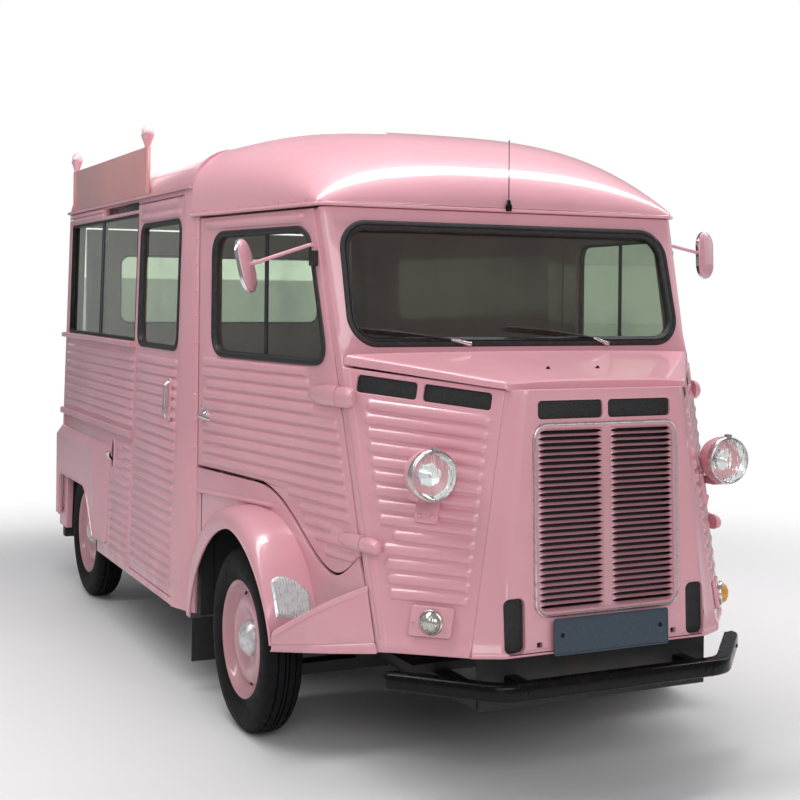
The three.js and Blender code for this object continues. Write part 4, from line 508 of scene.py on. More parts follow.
def pillar_ring(z):
    front = Vector((cab_x(CAB_REAR), CAB_REAR, z))
    rear = Vector((side_x(z) + 0.001, PILLAR_REAR + 0.003, z))
    along = (rear - front).normalized()
    out = along.cross(Vector((0, 0, 1)))
    inner = front - cab_out * CAB_SKIN
    rise = [(0.0, 0.0), (0.005, 0.003), (0.03, 0.006), (0.07, 0.008), (0.12, 0.0085), (0.15, 0.007)]
    face = [front + along * run + out * up for run, up in rise]
    reach = (rear - front).length
    nose = [front + along * (reach - 0.012) + out * 0.005, front + along * reach]
    back = Vector((side_x(z) - 0.032, PILLAR_REAR + 0.003, z))
    return [*face, *nose, back, inner + Vector((0, 0.02, 0)), inner]


levels = [SILL, SILL + 0.02, 0.8, 1.3, HEADER - 0.0005]
pair("pillar", drawn([pillar_ring(z) for z in levels]), PINK)
upper = [
    [Vector((p.x, max(p.y, CAB_ROOF_REAR + 0.002), z)) for p in pillar_ring(z)]
    for z in (HEADER - 0.0005, EAVES)
]
pair("pillar_head", drawn(upper), PINK)


REAR_POST = 0.088
POST_EDGE = 0.024


def post_ring(z):
    x = side_x(z)
    bend = Vector((x - 0.022, REAR - POST_EDGE, z))
    turns = [math.radians(a) for a in (0, 22.5, 45, 67.5, 90)]
    corner = [bend + Vector((POST_EDGE * math.cos(a), POST_EDGE * math.sin(a), 0)) for a in turns]
    return [
        *corner,
        Vector((x - REAR_POST, REAR, z)),
        Vector((x - REAR_POST, REAR - 0.034, z)),
        Vector((x + 0.002, REAR - 0.062, z)),
    ]


pair("rear_post", drawn([post_ring(z) for z in (0.368, 0.9, 1.5, EAVES)]), PINK)

RIVET_PITCH = 0.107


def around(steps):
    """The angles of a full turn, in equal steps."""
    return [math.tau * k / steps for k in range(steps)]


def studs(points, out, radius, height, steps=12):
    """One mesh of domed rivet or screw heads at points, standing out of their panel."""
    whole = bmesh.new()
    aim = Vector(out).to_track_quat("Z", "Y").to_matrix().to_4x4()
    levels = [(-0.001, 1), (height * 0.5, 0.92), (height * 0.88, 0.6), (height, 0.2)]
    for at in points:
        seat = Matrix.Translation(at) @ aim
        rings = []
        for up, share in levels:
            reach = radius * share
            rings.append([seat @ Vector((reach * math.cos(a), reach * math.sin(a), up)) for a in around(steps)])
        drawn(rings, into=whole)
    return whole


def pillar_face(run, z):
    front = Vector((cab_x(CAB_REAR), CAB_REAR, z))
    along = (Vector((side_x(z), PILLAR_REAR, z)) - front).normalized()
    return front + along * run + along.cross(Vector((0, 0, 1))) * 0.004


door_rivets = [pillar_face(0.016, 0.98 + RIVET_PITCH * k) for k in range(9)]
pair("pillar_rivets", studs(door_rivets, (1, -0.9, 0), 0.0075, 0.006), PINK)

# Sliding door: one pressed sheet on rails, with a window set in rubber.
SLIDE = (PILLAR_REAR + 0.004, SILL + 0.034, SLIDE_REAR - 0.004, EAVES - 0.024)
SLIDE_WINDOW = (PILLAR_REAR + 0.037, 1.376, SLIDE_REAR - 0.042, 1.918)


def slide_ends(z):
    return SLIDE[0] + 0.022, SLIDE[2] - 0.022


slide_rows = rows_between(SLIDE[1], SLIDE_WINDOW[1] - 0.006, slide_ends)
slide_rows += [(1.954, 1.872, 2.512), (2.000, 1.930, 2.496)]
slide_sheet = pressed(
    [
        [(SLIDE[0], SLIDE[1]), (SLIDE[2], SLIDE[1]), (SLIDE[2], SLIDE[3]), (SLIDE[0], SLIDE[3])],
        rounded(*SLIDE_WINDOW, 0.055, 8)[::-1],
    ],
    on_side,
    slide_rows,
    depth=0.032,
)
piece("sliding_door_sheet", on_right(slide_sheet), PINK, stands_for=["sliding_door"])

# Window rubbers: a round-backed black extrusion over the sheet's edge and the glass, closed at a butt
# joint, with a groove where the filler strip is pressed in.
RUBBER = Paint("seal_rubber", {"Base Color": (0.012, 0.012, 0.013, 1), "Roughness": 0.5, "IOR": 1.5}, "tyre_rubber")
grime = RUBBER.noise(60.0, 4.0)
RUBBER.set({"Roughness": 0.42 + grime * 0.25})
grimy = RUBBER.mix(grime.ramp(0.4, 0.8), (0.010, 0.010, 0.011, 1), (0.035, 0.033, 0.033, 1))
RUBBER.set({"Base Color": grimy})
RUBBER.grain(300.0, 2.0, 0.0004, 0.4)


def seal_section(wide, high, lap):
    """From the sheet round the crown to the glass: steps outwards from the opening, then up."""
    return [
        (wide - lap, -0.001),
        (wide - lap, high * 0.55),
        (wide - lap - 0.003, high * 0.9),
        (wide * 0.5 - lap + 0.003, high),
        (wide * 0.5 - lap, high * 0.72),
        (wide * 0.5 - lap - 0.003, high * 0.98),
        (0.004 - lap, high * 0.55),
        (-lap, -0.004),
        (-lap, -0.014),
        (-0.001, -0.014),
        (-0.001, -0.001),
    ]


slide_rubber = moulding(rounded(*SLIDE_WINDOW, 0.055, 10), seal_section(0.022, 0.007, 0.010), on_side)
piece("sliding_window_rubber", on_right(slide_rubber), RUBBER, crease=50)

# Serving window: a black track round two panes, one before the other, each with a dark stile.
TRACK = 0.014
s0, z0, s1, z1 = SERVING_HOLE
track = moulding(
    rounded(s0 + 0.001, z0 + 0.001, s1 - 0.001, z1 - 0.001, 0.010, 3),
    [(0, -0.030), (0, -0.004), (-0.003, -0.001), (-TRACK, -0.001), (-TRACK, -0.030)],
    on_side,
)
piece("serving_window_track", on_right(track), RUBBER)


def raised(place, by):
    """A panel's place function, moved outwards by a distance."""
    return lambda u, v, out: place(u, v, out + by)


def slip(box, corner, steps, place, by, radius, depth):
    """A small flat part on a panel: a rounded rectangle, moved outwards by a distance."""
    return pressed([rounded(*box, corner, steps)], raised(place, by), radius=radius, depth=depth)


middle = (s0 + s1) / 2
for name, y, out in (("fore", middle + 0.012, -0.006), ("aft", middle - 0.010, -0.017)):
    bar = slip((y - 0.014, z0 + 0.010, y + 0.014, z1 - 0.010), 0.002, 2, on_side, out, 0.002, 0.010)
    piece(f"serving_window_stile_{name}", on_right(bar), RUBBER)

# ---- Cab doors: a pressed sheet over a frame, hung on two bullet-shaped hinges beside the windscreen
# pillar. Its foot follows the front wheel arch, and its window is two panes set in rubber.
SHUT = 0.007
RAKE = 0.28
DOOR_REAR = CAB_REAR - SHUT
DOOR_TOP = HEADER - SHUT
PILLAR_WIDE = 0.046


def screen_y(z):
    """The front of the cab at a height: the pillars and the screen lean back by their rake."""
    return 0.143 + RAKE * z


def on_cab(y, z, out):
    return Vector((cab_x(y), y, z)) + cab_out * out


def door_front(z):
    return screen_y(z) + PILLAR_WIDE + SHUT


def bezier(points, steps):
    """Points on the curve of two ends and the handles between them, both ends included."""
    degree = len(points) - 1
    line = []
    for k in range(steps + 1):
        t = k / steps
        shares = [math.comb(degree, n) * t**n * (1 - t) ** (degree - n) for n in range(degree + 1)]
        line.append(tuple(sum(share * p[axis] for share, p in zip(shares, points)) for axis in (0, 1)))
    return line


TOE_FOOT = 0.652
ARCH_TOP = 0.905
DOOR_TOE = [(0.560, TOE_FOOT), (0.720, TOE_FOOT), (0.870, ARCH_TOP), (1.130, ARCH_TOP)]
TOE_FRONT = 0.738


def door_foot(gap):
    """The edge from the toe back over the wheel arch to the rear; the gap lifts it off the fender."""
    toe = [(door_front(TOE_FRONT), TOE_FRONT), (0.500, TOE_FOOT), DOOR_TOE[0]]
    line = bezier(toe, 7)[:-1] + bezier(DOOR_TOE, 14)
    return [*[(y - gap * 0.6, z + gap) for y, z in line], (DOOR_REAR, ARCH_TOP + gap)]


foot_line = door_foot(SHUT / 2)
door_line = [*foot_line, (DOOR_REAR, DOOR_TOP), (door_front(DOOR_TOP), DOOR_TOP)]


def soft_corners(corners, radius, steps=7):
    """A polygon's outline, each corner rounded off by a curve that starts a radius before it."""
    line = []
    for k, corner in enumerate(corners):
        here = Vector(corner)
        entry = here + (Vector(corners[k - 1]) - here).normalized() * radius
        leave = here + (Vector(corners[(k + 1) % len(corners)]) - here).normalized() * radius
        for step in range(steps + 1):
            t = step / steps
            line.append(tuple(entry * (1 - t) ** 2 + here * 2 * t * (1 - t) + leave * t * t))
    return line


def window_front(z):
    return screen_y(z) + 0.104


WINDOW_FOOT = 1.372
WINDOW_TOP = 1.846
WINDOW_REAR = 1.510
DOOR_WINDOW = [
    (window_front(WINDOW_FOOT), WINDOW_FOOT),
    (WINDOW_REAR, WINDOW_FOOT),
    (WINDOW_REAR, WINDOW_TOP),
    (window_front(WINDOW_TOP), WINDOW_TOP),
]
door_window = soft_corners(DOOR_WINDOW, 0.088)


def foot_at(z):
    """How far back the door reaches at a height below its rear foot."""
    return max(y for y, height in foot_line[2:] if height <= z)


# The rows start behind the hinges and end at the wheel arch low down, and short of the handle and lock.
HANDLE_ROW = 9
LOCK_ROW = 12
door_rows = []
for k in range(15):
    z = 0.722 + BEAD_PITCH * k
    start = door_front(z) + 0.026
    end = foot_at(z - 0.02) - 0.034 if z < 0.93 else DOOR_REAR - 0.036
    if 0.79 < z < 0.83:
        start += 0.13
    if z > 1.18:
        start += 0.15 + 0.09 * (z - 1.18)
    if k == LOCK_ROW:
        end -= 0.035
    if k == HANDLE_ROW:
        end -= 0.075
    door_rows.append((z, start, end))
door_rows.append((1.886, 0.80, 1.59))
door = pressed([door_line, door_window[::-1]], on_cab, door_rows, radius=0.004, depth=0.038)
pair("cab_door_sheet", door, PINK, "cab_door_{}", ["cab_door_{}"])
door_rubber = moulding(door_window, seal_section(0.026, 0.008, 0.013), on_cab)
pair("cab_door_rubber", door_rubber, RUBBER, "cab_door_{}", crease=50)

# Hinges: each is a pressed bullet on the door and a short block on the cheek before it.
HINGES = [(1.259, 0.20, 0.037, 0), (0.778, 0.15, 0.027, 0.030)]
POD_ARCH = [(math.cos(a), math.sin(a) ** 0.7) for a in (math.pi * k / 8 for k in range(9))]


def hinge_pods(shape, start, length, rise, out, stand):
    """One half of both hinges, as arches from its front to its rear: [share of its length, size, stand].
    Their feet are sunk a little, and a length of None is the hinge's own."""
    whole = bmesh.new()
    for z, reach, high, ahead in HINGES:
        rings = []
        for share, size, rising in shape:
            at = on_cab(screen_y(z) + start - ahead + (length or reach) * share, z + rise, out)
            up = Vector((0, 0, high * size))
            arch = [at + up * across + cab_out * stand * rising * bulge for across, bulge in POD_ARCH]
            rings.append([*arch, at - up - cab_out * 0.003, at + up - cab_out * 0.003])
        drawn(rings, into=whole)
    return whole


BULLET = [
    (0, 1, 0.9), (0.04, 1, 1), (0.35, 1, 1), (0.6, 0.93, 0.95), (0.8, 0.74, 0.8), (0.93, 0.42, 0.55),
    (1, 0.12, 0.15),
]
pair("door_hinge_pod", hinge_pods(BULLET, 0.048, None, 0.004, 0.0005, 0.024), PINK, "cab_door_{}")

# Door handle: a chrome lever on a round plate with a lock above it, behind the beads.
CHROME = Paint("bright_plating", {
    "Base Color": (0.80, 0.81, 0.83, 1), "Metallic": 1.0, "Roughness": 0.14,
}, "mirror_chrome")
CHROME.worn((30.0, 5.0, 0.45, 0.85), (0.82, 0.83, 0.85, 1), (0.60, 0.58, 0.55, 1), (0.10, 0.22))


def turned(profile, at, axis, steps=32, closed=False, carve=None):
    """A body turned about an axis: the profile is [distance along it, radius] from end to end. It is
    carved before it is put in its place."""
    mesh = bmesh.new()
    verts = [mesh.verts.new((radius, 0, along)) for along, radius in profile]
    edges = [mesh.edges.new(ends) for ends in zip(verts, verts[1:] + verts[:1] * closed)]
    bmesh.ops.spin(mesh, geom=verts + edges, axis=(0, 0, 1), angle=math.tau, steps=steps, use_merge=True)
    bmesh.ops.remove_doubles(mesh, verts=mesh.verts, dist=1e-6)
    if carve:
        carve(mesh)
    aim = Vector(axis).to_track_quat("Z", "Y").to_matrix().to_4x4()
    bmesh.ops.transform(mesh, matrix=Matrix.Translation(at) @ aim, verts=mesh.verts)
    return mesh


def joined(*meshes):
    """Several meshes as one; the sources are used up."""
    whole = bmesh.new()
    for mesh in meshes:
        data = bpy.data.meshes.new("part")
        mesh.to_mesh(data)
        mesh.free()
        whole.from_mesh(data)
        bpy.data.meshes.remove(data)
    return whole


def tube(points, radii, steps=12):
    """A round bar through points, with its own radius at each."""
    rings = []
    for k, point in enumerate(points):
        way = (points[min(k + 1, len(points) - 1)] - points[max(k - 1, 0)]).normalized()
        side = way.cross(Vector((0.31, 0.17, 0.93))).normalized()
        over = way.cross(side)
        rings.append([point + (side * math.cos(a) + over * math.sin(a)) * radii[k] for a in around(steps)])
    return drawn(rings)


plate_profile = [(0, 0), (0, 0.022), (0.004, 0.021), (0.010, 0.013), (0.030, 0.011), (0.032, 0)]
LEVER = [
    (1.585, 1.118, 0.026), (1.57, 1.119, 0.034), (1.52, 1.117, 0.037), (1.475, 1.110, 0.033),
    (1.470, 1.109, 0.031),
]
lever = tube([on_cab(*at) for at in LEVER], [0.008, 0.009, 0.0075, 0.006, 0.002])
lock_profile = [(0, 0), (0, 0.011), (0.005, 0.010), (0.006, 0.004), (0.006, 0)]
handle = joined(
    turned(plate_profile, on_cab(1.585, 1.118, 0), cab_out),
    lever,
    turned(lock_profile, on_cab(1.600, 1.150, 0), cab_out, 20),
)
pair("door_handle", handle, CHROME, "cab_door_{}")

# Door glass stile: a thin dark upright between the two panes.
stile = slip((1.085, 1.374, 1.107, 1.844), 0.002, 2, on_cab, -0.010, 0.002, 0.010)
pair("door_glass_stile", stile, RUBBER, "cab_door_{}")

# ---- Cowl cheeks: pressed sheets ruled from the nose's side seam back to the pillar, with two
# mesh-backed vents at the top, beads below, a raised flange at the shut line and a rolled foot.
NOSE_FOOT = 0.462
NOSE_TOP = 1.312
NOSE_HEIGHT = NOSE_TOP - NOSE_FOOT
NOSE_LEAN = 0.034
NOSE_SWEEP = 0.052
SCUTTLE = 1.392
POST_FOOT = 0.446


def nose_y(z):
    return -0.028 + NOSE_LEAN * (z - NOSE_FOOT) / NOSE_HEIGHT


def nose_half(z):
    return 0.484 - 0.137 * (z - NOSE_FOOT) / NOSE_HEIGHT


def cheek_ends(z):
    """The ends of the cheek's ruling that leaves the nose at a height; it climbs to the pillar."""
    rise = min(max((z - NOSE_FOOT) / NOSE_HEIGHT, 0), 1.02)
    top = POST_FOOT + (SCUTTLE - 0.024 - POST_FOOT) * rise
    front = Vector((nose_half(z) + 0.0003, nose_y(z) + NOSE_SWEEP, z))
    return front, Vector((cab_x(screen_y(top)), screen_y(top), top))


def on_cheek(u, v, out):
    front, back = cheek_ends(v)
    along = (back - front).normalized()
    return front + along * u + along.cross(Vector((0, 0, 1))).normalized() * out


def cheek_long(z):
    front, back = cheek_ends(z)
    return (back - front).length


CHEEK_TOP = NOSE_TOP - 0.004
cheek_line = [
    (0.003, NOSE_FOOT),
    (cheek_long(NOSE_FOOT) - 0.004, NOSE_FOOT),
    (cheek_long(CHEEK_TOP) - 0.002, CHEEK_TOP),
    (0.003, CHEEK_TOP),
]
VENT_FOOT = 1.236
VENT_TOP = 1.292
reach = cheek_long(VENT_TOP)
cheek_vents = [
    rounded(reach * 0.075, VENT_FOOT, reach * 0.485, VENT_TOP, 0.012, 4),
    rounded(reach * 0.525, VENT_FOOT, reach * 0.905, VENT_TOP, 0.012, 4),
]
cheek_rows = []
for k in range(14):
    z = 1.202 - 0.0435 * k
    end = cheek_long(z) - 0.058
    if k == 9:
        end -= 0.045
    if k == 0:
        end -= 0.015
    cheek_rows.append((z, 0.034 + 0.012 * (z - 0.6), end))
FLANGE = 0.030


def cheek_relief(u, v):
    """The flange along the shut line stands 3 mm proud; the foot swells into a rolled lip."""
    beside = u - (cheek_long(v) - FLANGE)
    flange = 0.003 * min(max(beside / 0.006, 0), 1)
    lip = 0.006 * max(0, 1 - ((v - 0.478) / 0.020) ** 2) if abs(v - 0.478) < 0.020 else 0
    return flange + lip


slope = (cheek_long(CHEEK_TOP) - cheek_long(NOSE_FOOT)) / (CHEEK_TOP - NOSE_FOOT)
flange_normal = (1, -slope)
cheek_cuts = [((cheek_long(NOSE_FOOT) - FLANGE + step, NOSE_FOOT), flange_normal) for step in (0, 0.003, 0.006)]
cheek_cuts += [((0, NOSE_FOOT + 0.001 + 0.005 * k), (0, 1)) for k in range(8)]
cheek_holes = [hole[::-1] for hole in cheek_vents]
cheek = pressed([cheek_line, *cheek_holes], on_cheek, cheek_rows, cheek_cuts, cheek_relief, 0.003, 0.022)
pair("cheek_sheet", cheek, PINK, stands_for=["cowl_cheek_{}"])

# Vent screens: black wire gauze behind each opening, in a thin turned-in frame.
GAUZE = Paint("vent_gauze", {
    "Base Color": (0.012, 0.012, 0.013, 1), "Roughness": 0.55, "Metallic": 0.3,
}, "chassis_black")
weave = GAUZE.place((520, 520, 520))
mesh_hills = GAUZE.node("ShaderNodeTexVoronoi", {"feature": "F1"}, {"Vector": weave, "Scale": 1.0}, "Distance")
GAUZE.set({"Base Color": GAUZE.mix(mesh_hills.ramp(0.2, 0.7), (0.045, 0.047, 0.05, 1), (0.004, 0.004, 0.004, 1))})
GAUZE.set({"Normal": GAUZE.bump(mesh_hills, 0.001, 0.8)})


def screen(line, place, depth=0.008):
    """A gauze panel just behind an opening, with a shallow dished rim."""
    return pressed([line], raised(place, -depth), radius=0.003, depth=0.004)


for index, vent in enumerate(cheek_vents):
    pair(f"cheek_vent_{index}", screen(vent, on_cheek), GAUZE)

BLOCK = [(0, 0.35, 0.5), (0.08, 0.7, 0.75), (0.25, 0.92, 0.9), (0.5, 1, 1), (1, 1, 1)]
pair("cheek_hinge_pod", hinge_pods(BLOCK, -0.045, 0.088, 0.002, -0.004, 0.027), PINK)

# ---- Windscreen frame: one sheet from pillar to pillar with a swelling round the opening, where a thick
# rubber holds the one-piece screen.
SCREEN_UP = Vector((0, RAKE, 1)).normalized()
SCREEN_OUT = Vector((1, 0, 0)).cross(SCREEN_UP)


def on_screen(x, z, out):
    return Vector((x, screen_y(z), z)) + SCREEN_OUT * out


def post_x(z):
    return cab_x(screen_y(z))


SCREEN_HOLE = (-0.676, 1.448, 0.676, 1.858)
SCREEN_CORNER = 0.092
screen_hole = rounded(*SCREEN_HOLE, SCREEN_CORNER, 12)
POST_WIDE = 0.034
POST_LEAN = 0.0414
screen_line = [
    (-post_x(POST_FOOT), POST_FOOT),
    (-post_x(POST_FOOT) + POST_WIDE, POST_FOOT),
    (-post_x(SCUTTLE) + POST_WIDE, SCUTTLE),
    (post_x(SCUTTLE) - POST_WIDE, SCUTTLE),
    (post_x(POST_FOOT) - POST_WIDE, POST_FOOT),
    (post_x(POST_FOOT), POST_FOOT),
    (post_x(HEADER), HEADER),
    (-post_x(HEADER), HEADER),
]


def swelling(x, z):
    """The sheet rises to the screen rubber and turns back towards the pillars."""
    _, foot, half, top = SCREEN_HOLE
    dx = max(abs(x) - (half - SCREEN_CORNER), 0)
    dz = max(abs(z - (foot + top) / 2) - ((top - foot) / 2 - SCREEN_CORNER), 0)
    away = math.hypot(dx, dz) - SCREEN_CORNER
    rise = 0.006 * math.exp(-((max(away - 0.016, 0) / 0.022) ** 2))
    edge = post_x(z) - abs(x)
    above = min(max((z - SCUTTLE) / 0.08, 0), 1)
    return rise * above - 0.010 * above * max(0, 1 - edge / 0.045) ** 2


screen_cuts = []
for side in (-1, 1):
    for inset in (0.008, 0.018, 0.03, 0.045):
        screen_cuts.append(((side * (post_x(SCUTTLE) - inset), SCUTTLE), (side, -POST_LEAN)))
screen_cuts += [((0, z), (0, 1)) for z in (1.405, 1.415, 1.425, 1.435, 1.87, 1.88, 1.89, 1.90)]
screen_cuts += [((0, 1.46 + 0.02 * k), (0, 1)) for k in range(20)]
screen_loops = [screen_line, screen_hole[::-1]]
screen_frame = pressed(screen_loops, on_screen, (), screen_cuts, swelling, 0.004, 0.046)
piece("windscreen_surround", screen_frame, PINK, stands_for=["windscreen_frame"])
screen_rubber = moulding(screen_hole, seal_section(0.036, 0.013, 0.018), on_screen)
piece("windscreen_rubber", screen_rubber, RUBBER, crease=50)

# ---- Cab roof: a pressed crown, domed forwards and to both sides, with a folded drip lip round its
# front and sides and a row of rivets along each skirt.
ROOF_FRONT = screen_y(HEADER) - 0.006
ROOF_LENGTH = CAB_ROOF_REAR - ROOF_FRONT
ROOF_EDGE = 0.014
ROOF_LIP = 0.010
ROOF_CORNER = 0.034
CAB_CROWN = 2.296
CAB_ROOF_RUN = 0.920
ROOF_POWERS = [(0.0, 2.4), (0.11, 2.5), (0.4, 2.75), (0.7, 3.0), (1.1, 3.1)]


def roof_half(back):
    """Half the roof's width a distance behind its front edge, where the corners are rounded."""
    short = max(1 - back / ROOF_CORNER, 0)
    return cab_x(ROOF_FRONT + back) + ROOF_LIP - ROOF_CORNER * (1 - math.sqrt(1 - short * short))


def roof_power(back):
    for (low, first), (high, last) in zip(ROOF_POWERS, ROOF_POWERS[1:]):
        if back <= high:
            return first + (last - first) * (back - low) / (high - low)


def roof_line(back, skin, steps=30):
    """The roof's section across the cab, from foot to foot, a skin inside the outer face."""
    along = min(back / CAB_ROOF_RUN, 1)
    rise = (CAB_CROWN - HEADER) * math.sqrt(1 - (1 - along) ** 2) - ROOF_EDGE
    rise = max(rise - skin, 0.003)
    half = roof_half(back) - skin
    share = 2 / roof_power(back)
    y = ROOF_FRONT + max(back, skin)
    line = [Vector((half, y, HEADER + 0.001))]
    for k in range(steps * 2 + 1):
        turn = math.pi * k / (steps * 2)
        x = half * math.copysign(abs(math.cos(turn)) ** share, math.cos(turn))
        line.append(Vector((x, y, HEADER + ROOF_EDGE + rise * math.sin(turn) ** share)))
    return [*line, Vector((-half, y, HEADER + 0.001))]


roof_backs = [ROOF_LENGTH * (k / 26) ** 2.1 for k in range(27)]
cab_roof = drawn([roof_line(back, 0) + roof_line(back, 0.012)[::-1] for back in roof_backs])
piece("cab_roof_skin", cab_roof, PINK, stands_for=["cab_roof"])

lip_backs = [ROOF_LENGTH, 0.5, *[ROOF_CORNER * (1 - math.sin(math.radians(15 * k))) for k in range(7)]]
lip_line = [(-roof_half(back), ROOF_FRONT + back) for back in lip_backs]
lip_line += [(-x, y) for x, y in reversed(lip_line)]
LIP_SECTION = [
    (-0.004, 0.0005), (0.004, 0.0005), (0.008, 0.003), (0.009, 0.007), (0.007, 0.012), (0.003, 0.014),
    (-0.004, 0.014),
]
roof_lip = moulding(lip_line, LIP_SECTION, lambda x, y, up: Vector((x, y, HEADER + up)), closed=False)
piece("cab_roof_lip", roof_lip, PINK)
skirt_rivets = []
for k in range(10):
    back = 0.09 + 0.102 * k
    skirt_rivets.append(Vector((roof_half(back) + 0.0005, ROOF_FRONT + back, HEADER + 0.024)))
pair("cab_roof_rivets", studs(skirt_rivets, (1, -CAB_TAPER, 0.1), 0.005, 0.003), PINK)

# Aerial: a thin whip on a socket at the roof's front lip, all black.
BLACK = Paint("gloss_black", {"Base Color": (0.016, 0.016, 0.018, 1), "Roughness": 0.3, "Specular IOR Level": 0.2})
BLACK.worn((26.0, 5.0, 0.45, 0.8), (0.003, 0.003, 0.0035, 1), (0.014, 0.013, 0.012, 1), (0.22, 0.22), 0.25)
BLACK.grain(160.0, 2.0, 0.0004, 0.15)
AERIAL_FOOT = Vector((0, ROOF_FRONT - 0.012, HEADER + 0.016))
aerial_profile = [
    (-0.012, 0), (-0.012, 0.010), (0.0, 0.013), (0.010, 0.013), (0.016, 0.009), (0.030, 0.006),
    (0.034, 0.002), (0.20, 0.0016), (0.246, 0.0014), (0.247, 0.0026), (0.252, 0.0026), (0.254, 0),
]
aerial = turned(aerial_profile, AERIAL_FOOT, (0, 0.01, 1), 16)
piece("aerial", aerial, BLACK, slot="control_black")

# ---- Cargo roof: one long arched skin with a flatter crown, closed by a gable over the tailgate, and
# a folded rain channel over each side.
EAVES_HALF = side_x(EAVES)
ROOF_BEND = 0.164
BEND_TURN = math.radians(72)


def cargo_arch(skin):
    """The arch across the body from eaves to eaves, a skin inside the outer face."""
    centre = EAVES_HALF - ROOF_BEND
    crown = (centre + ROOF_BEND * math.cos(BEND_TURN)) / math.cos(BEND_TURN)
    sunk = (ROOF_BEND - crown) * math.sin(BEND_TURN)
    half = []
    for k in range(13):
        turn = BEND_TURN * k / 12
        half.append((centre + (ROOF_BEND - skin) * math.cos(turn), (ROOF_BEND - skin) * math.sin(turn)))
    for k in range(1, 13):
        turn = BEND_TURN + (math.pi / 2 - BEND_TURN) * k / 12
        half.append(((crown - skin) * math.cos(turn), sunk + (crown - skin) * math.sin(turn)))
    return half + [(-x, up) for x, up in half[-2::-1]]


def arch_at(y, skin):
    return [Vector((x, y, EAVES + 0.0005 + up)) for x, up in cargo_arch(skin)]


roof_ys = [(CAB_ROOF_REAR + 0.0005, 0.05), (1.711, 0.05)]
roof_ys += [(y, 0.012) for y in (1.712, 1.9, 2.3, 2.8, 3.3, 3.8, REAR - 0.02)]
cargo_roof = drawn([arch_at(y, 0) + arch_at(y, skin)[::-1] for y, skin in roof_ys])
piece("cargo_roof_skin", cargo_roof, PINK, stands_for=["cargo_roof"])
gable_foot = EAVES_HALF - 0.09
gable_rings = []
for ahead, skin in ((0.034, 0.003), (0.021, 0), (0.010, 0), (0.004, 0.003), (0.0005, 0.009)):
    y = REAR - ahead
    gable_rings.append(arch_at(y, skin) + [Vector((-gable_foot, y, 1.978)), Vector((gable_foot, y, 1.978))])
piece("cargo_gable", drawn(gable_rings), PINK)
GUTTER = [(-0.02, 0.0), (0.013, 0.0), (0.016, 0.003), (0.016, 0.014), (0.013, 0.014), (0.013, 0.004), (-0.02, 0.004)]
gutter = moulding(
    [(1.715, EAVES_HALF), (REAR, EAVES_HALF)], GUTTER,
    lambda y, x, up: Vector((2 * EAVES_HALF - x, y, EAVES + up)), closed=False,
)
pair("cargo_gutter", gutter, PINK)

# ---- Bonnet: a shallow lid folded down along its sides, hinged at the foot of the windscreen, with
# two washer jets; it lies over the nose's top edge.
BONNET_ROWS = [  # [distance back, height, half width]
    (0.046, 1.318, 0.350), (0.0475, 1.330, 0.354), (0.054, 1.337, 0.360), (0.108, 1.346, 0.403),
    (0.20, 1.361, 0.4728), (0.33, 1.381, 0.5713), (0.43, 1.396, 0.647), (0.518, 1.409, 0.7137),
    (0.525, 1.404, 0.719),
]
BONNET_EDGE = [(0, 0.012), (0.002, 0.008), (0.006, 0.0050), (0.013, 0.0032), (0.03, 0.0018), (0.07, 0.0006)]
bonnet_rings = []
for y, z, half in BONNET_ROWS:
    foot = min(1.3125 + (max(y, 0.058) - 0.058) * 0.1285, z - 0.012)
    top = [Vector((half + 0.001, y, foot))]
    top += [Vector((half - inset, y, z - drop)) for inset, drop in BONNET_EDGE]
    top += [Vector((half * share, y, z + 0.005 * (1 - share**2))) for share in (0.7, 0.4, 0.15)]
    top += [Vector((-p.x, p.y, p.z)) for p in reversed(top)]
    under = [Vector((way * (half - 0.003), y, foot + 0.0005)) for way in (-1, 1)]
    bonnet_rings.append([*top, *under])
piece("bonnet_lid", drawn(bonnet_rings), PINK, "bonnet", ["bonnet"])
jet_profile = [(-0.002, 0), (-0.002, 0.008), (0.002, 0.008), (0.005, 0.006), (0.009, 0.003), (0.010, 0)]
jets = joined(*(turned(jet_profile, (x, 0.207, 1.366), (0, -0.2, 1), 12) for x in (-0.10, 0.10)))
piece("washer_jets", jets, BLACK, "bonnet", slot="control_black")

# ---- Nose panel: a flat sheet whose two borders sweep back to the cheeks, cut for the grille, two top
# vents, two low vents and two tow slots, with a rolled foot.
NOSE_OUT = Vector((0, -NOSE_HEIGHT, NOSE_LEAN)).normalized()
GRILLE = (-0.278, 0.584, 0.278, 1.200)


def on_nose(x, z, out):
    return Vector((x, nose_y(z), z)) + NOSE_OUT * out


def nose_bend(z):
    """Where the border bends back at a height: it is wider at its foot."""
    return nose_half(z) - 0.092 + 0.052 * (z - NOSE_FOOT) / NOSE_HEIGHT


def nose_relief(x, z):
    """The borders sweep back over a soft fold, and the foot is rolled."""
    past = abs(x) - nose_bend(z)
    steep = NOSE_SWEEP / (nose_half(z) - nose_bend(z))
    soft = 0.016
    if past > soft:
        sweep = steep * past
    else:
        sweep = steep * max(past + soft, 0) ** 2 / (4 * soft)
    lip = 0.006 * max(0, 1 - ((z - NOSE_FOOT - 0.009) / 0.012) ** 2)
    return lip - sweep


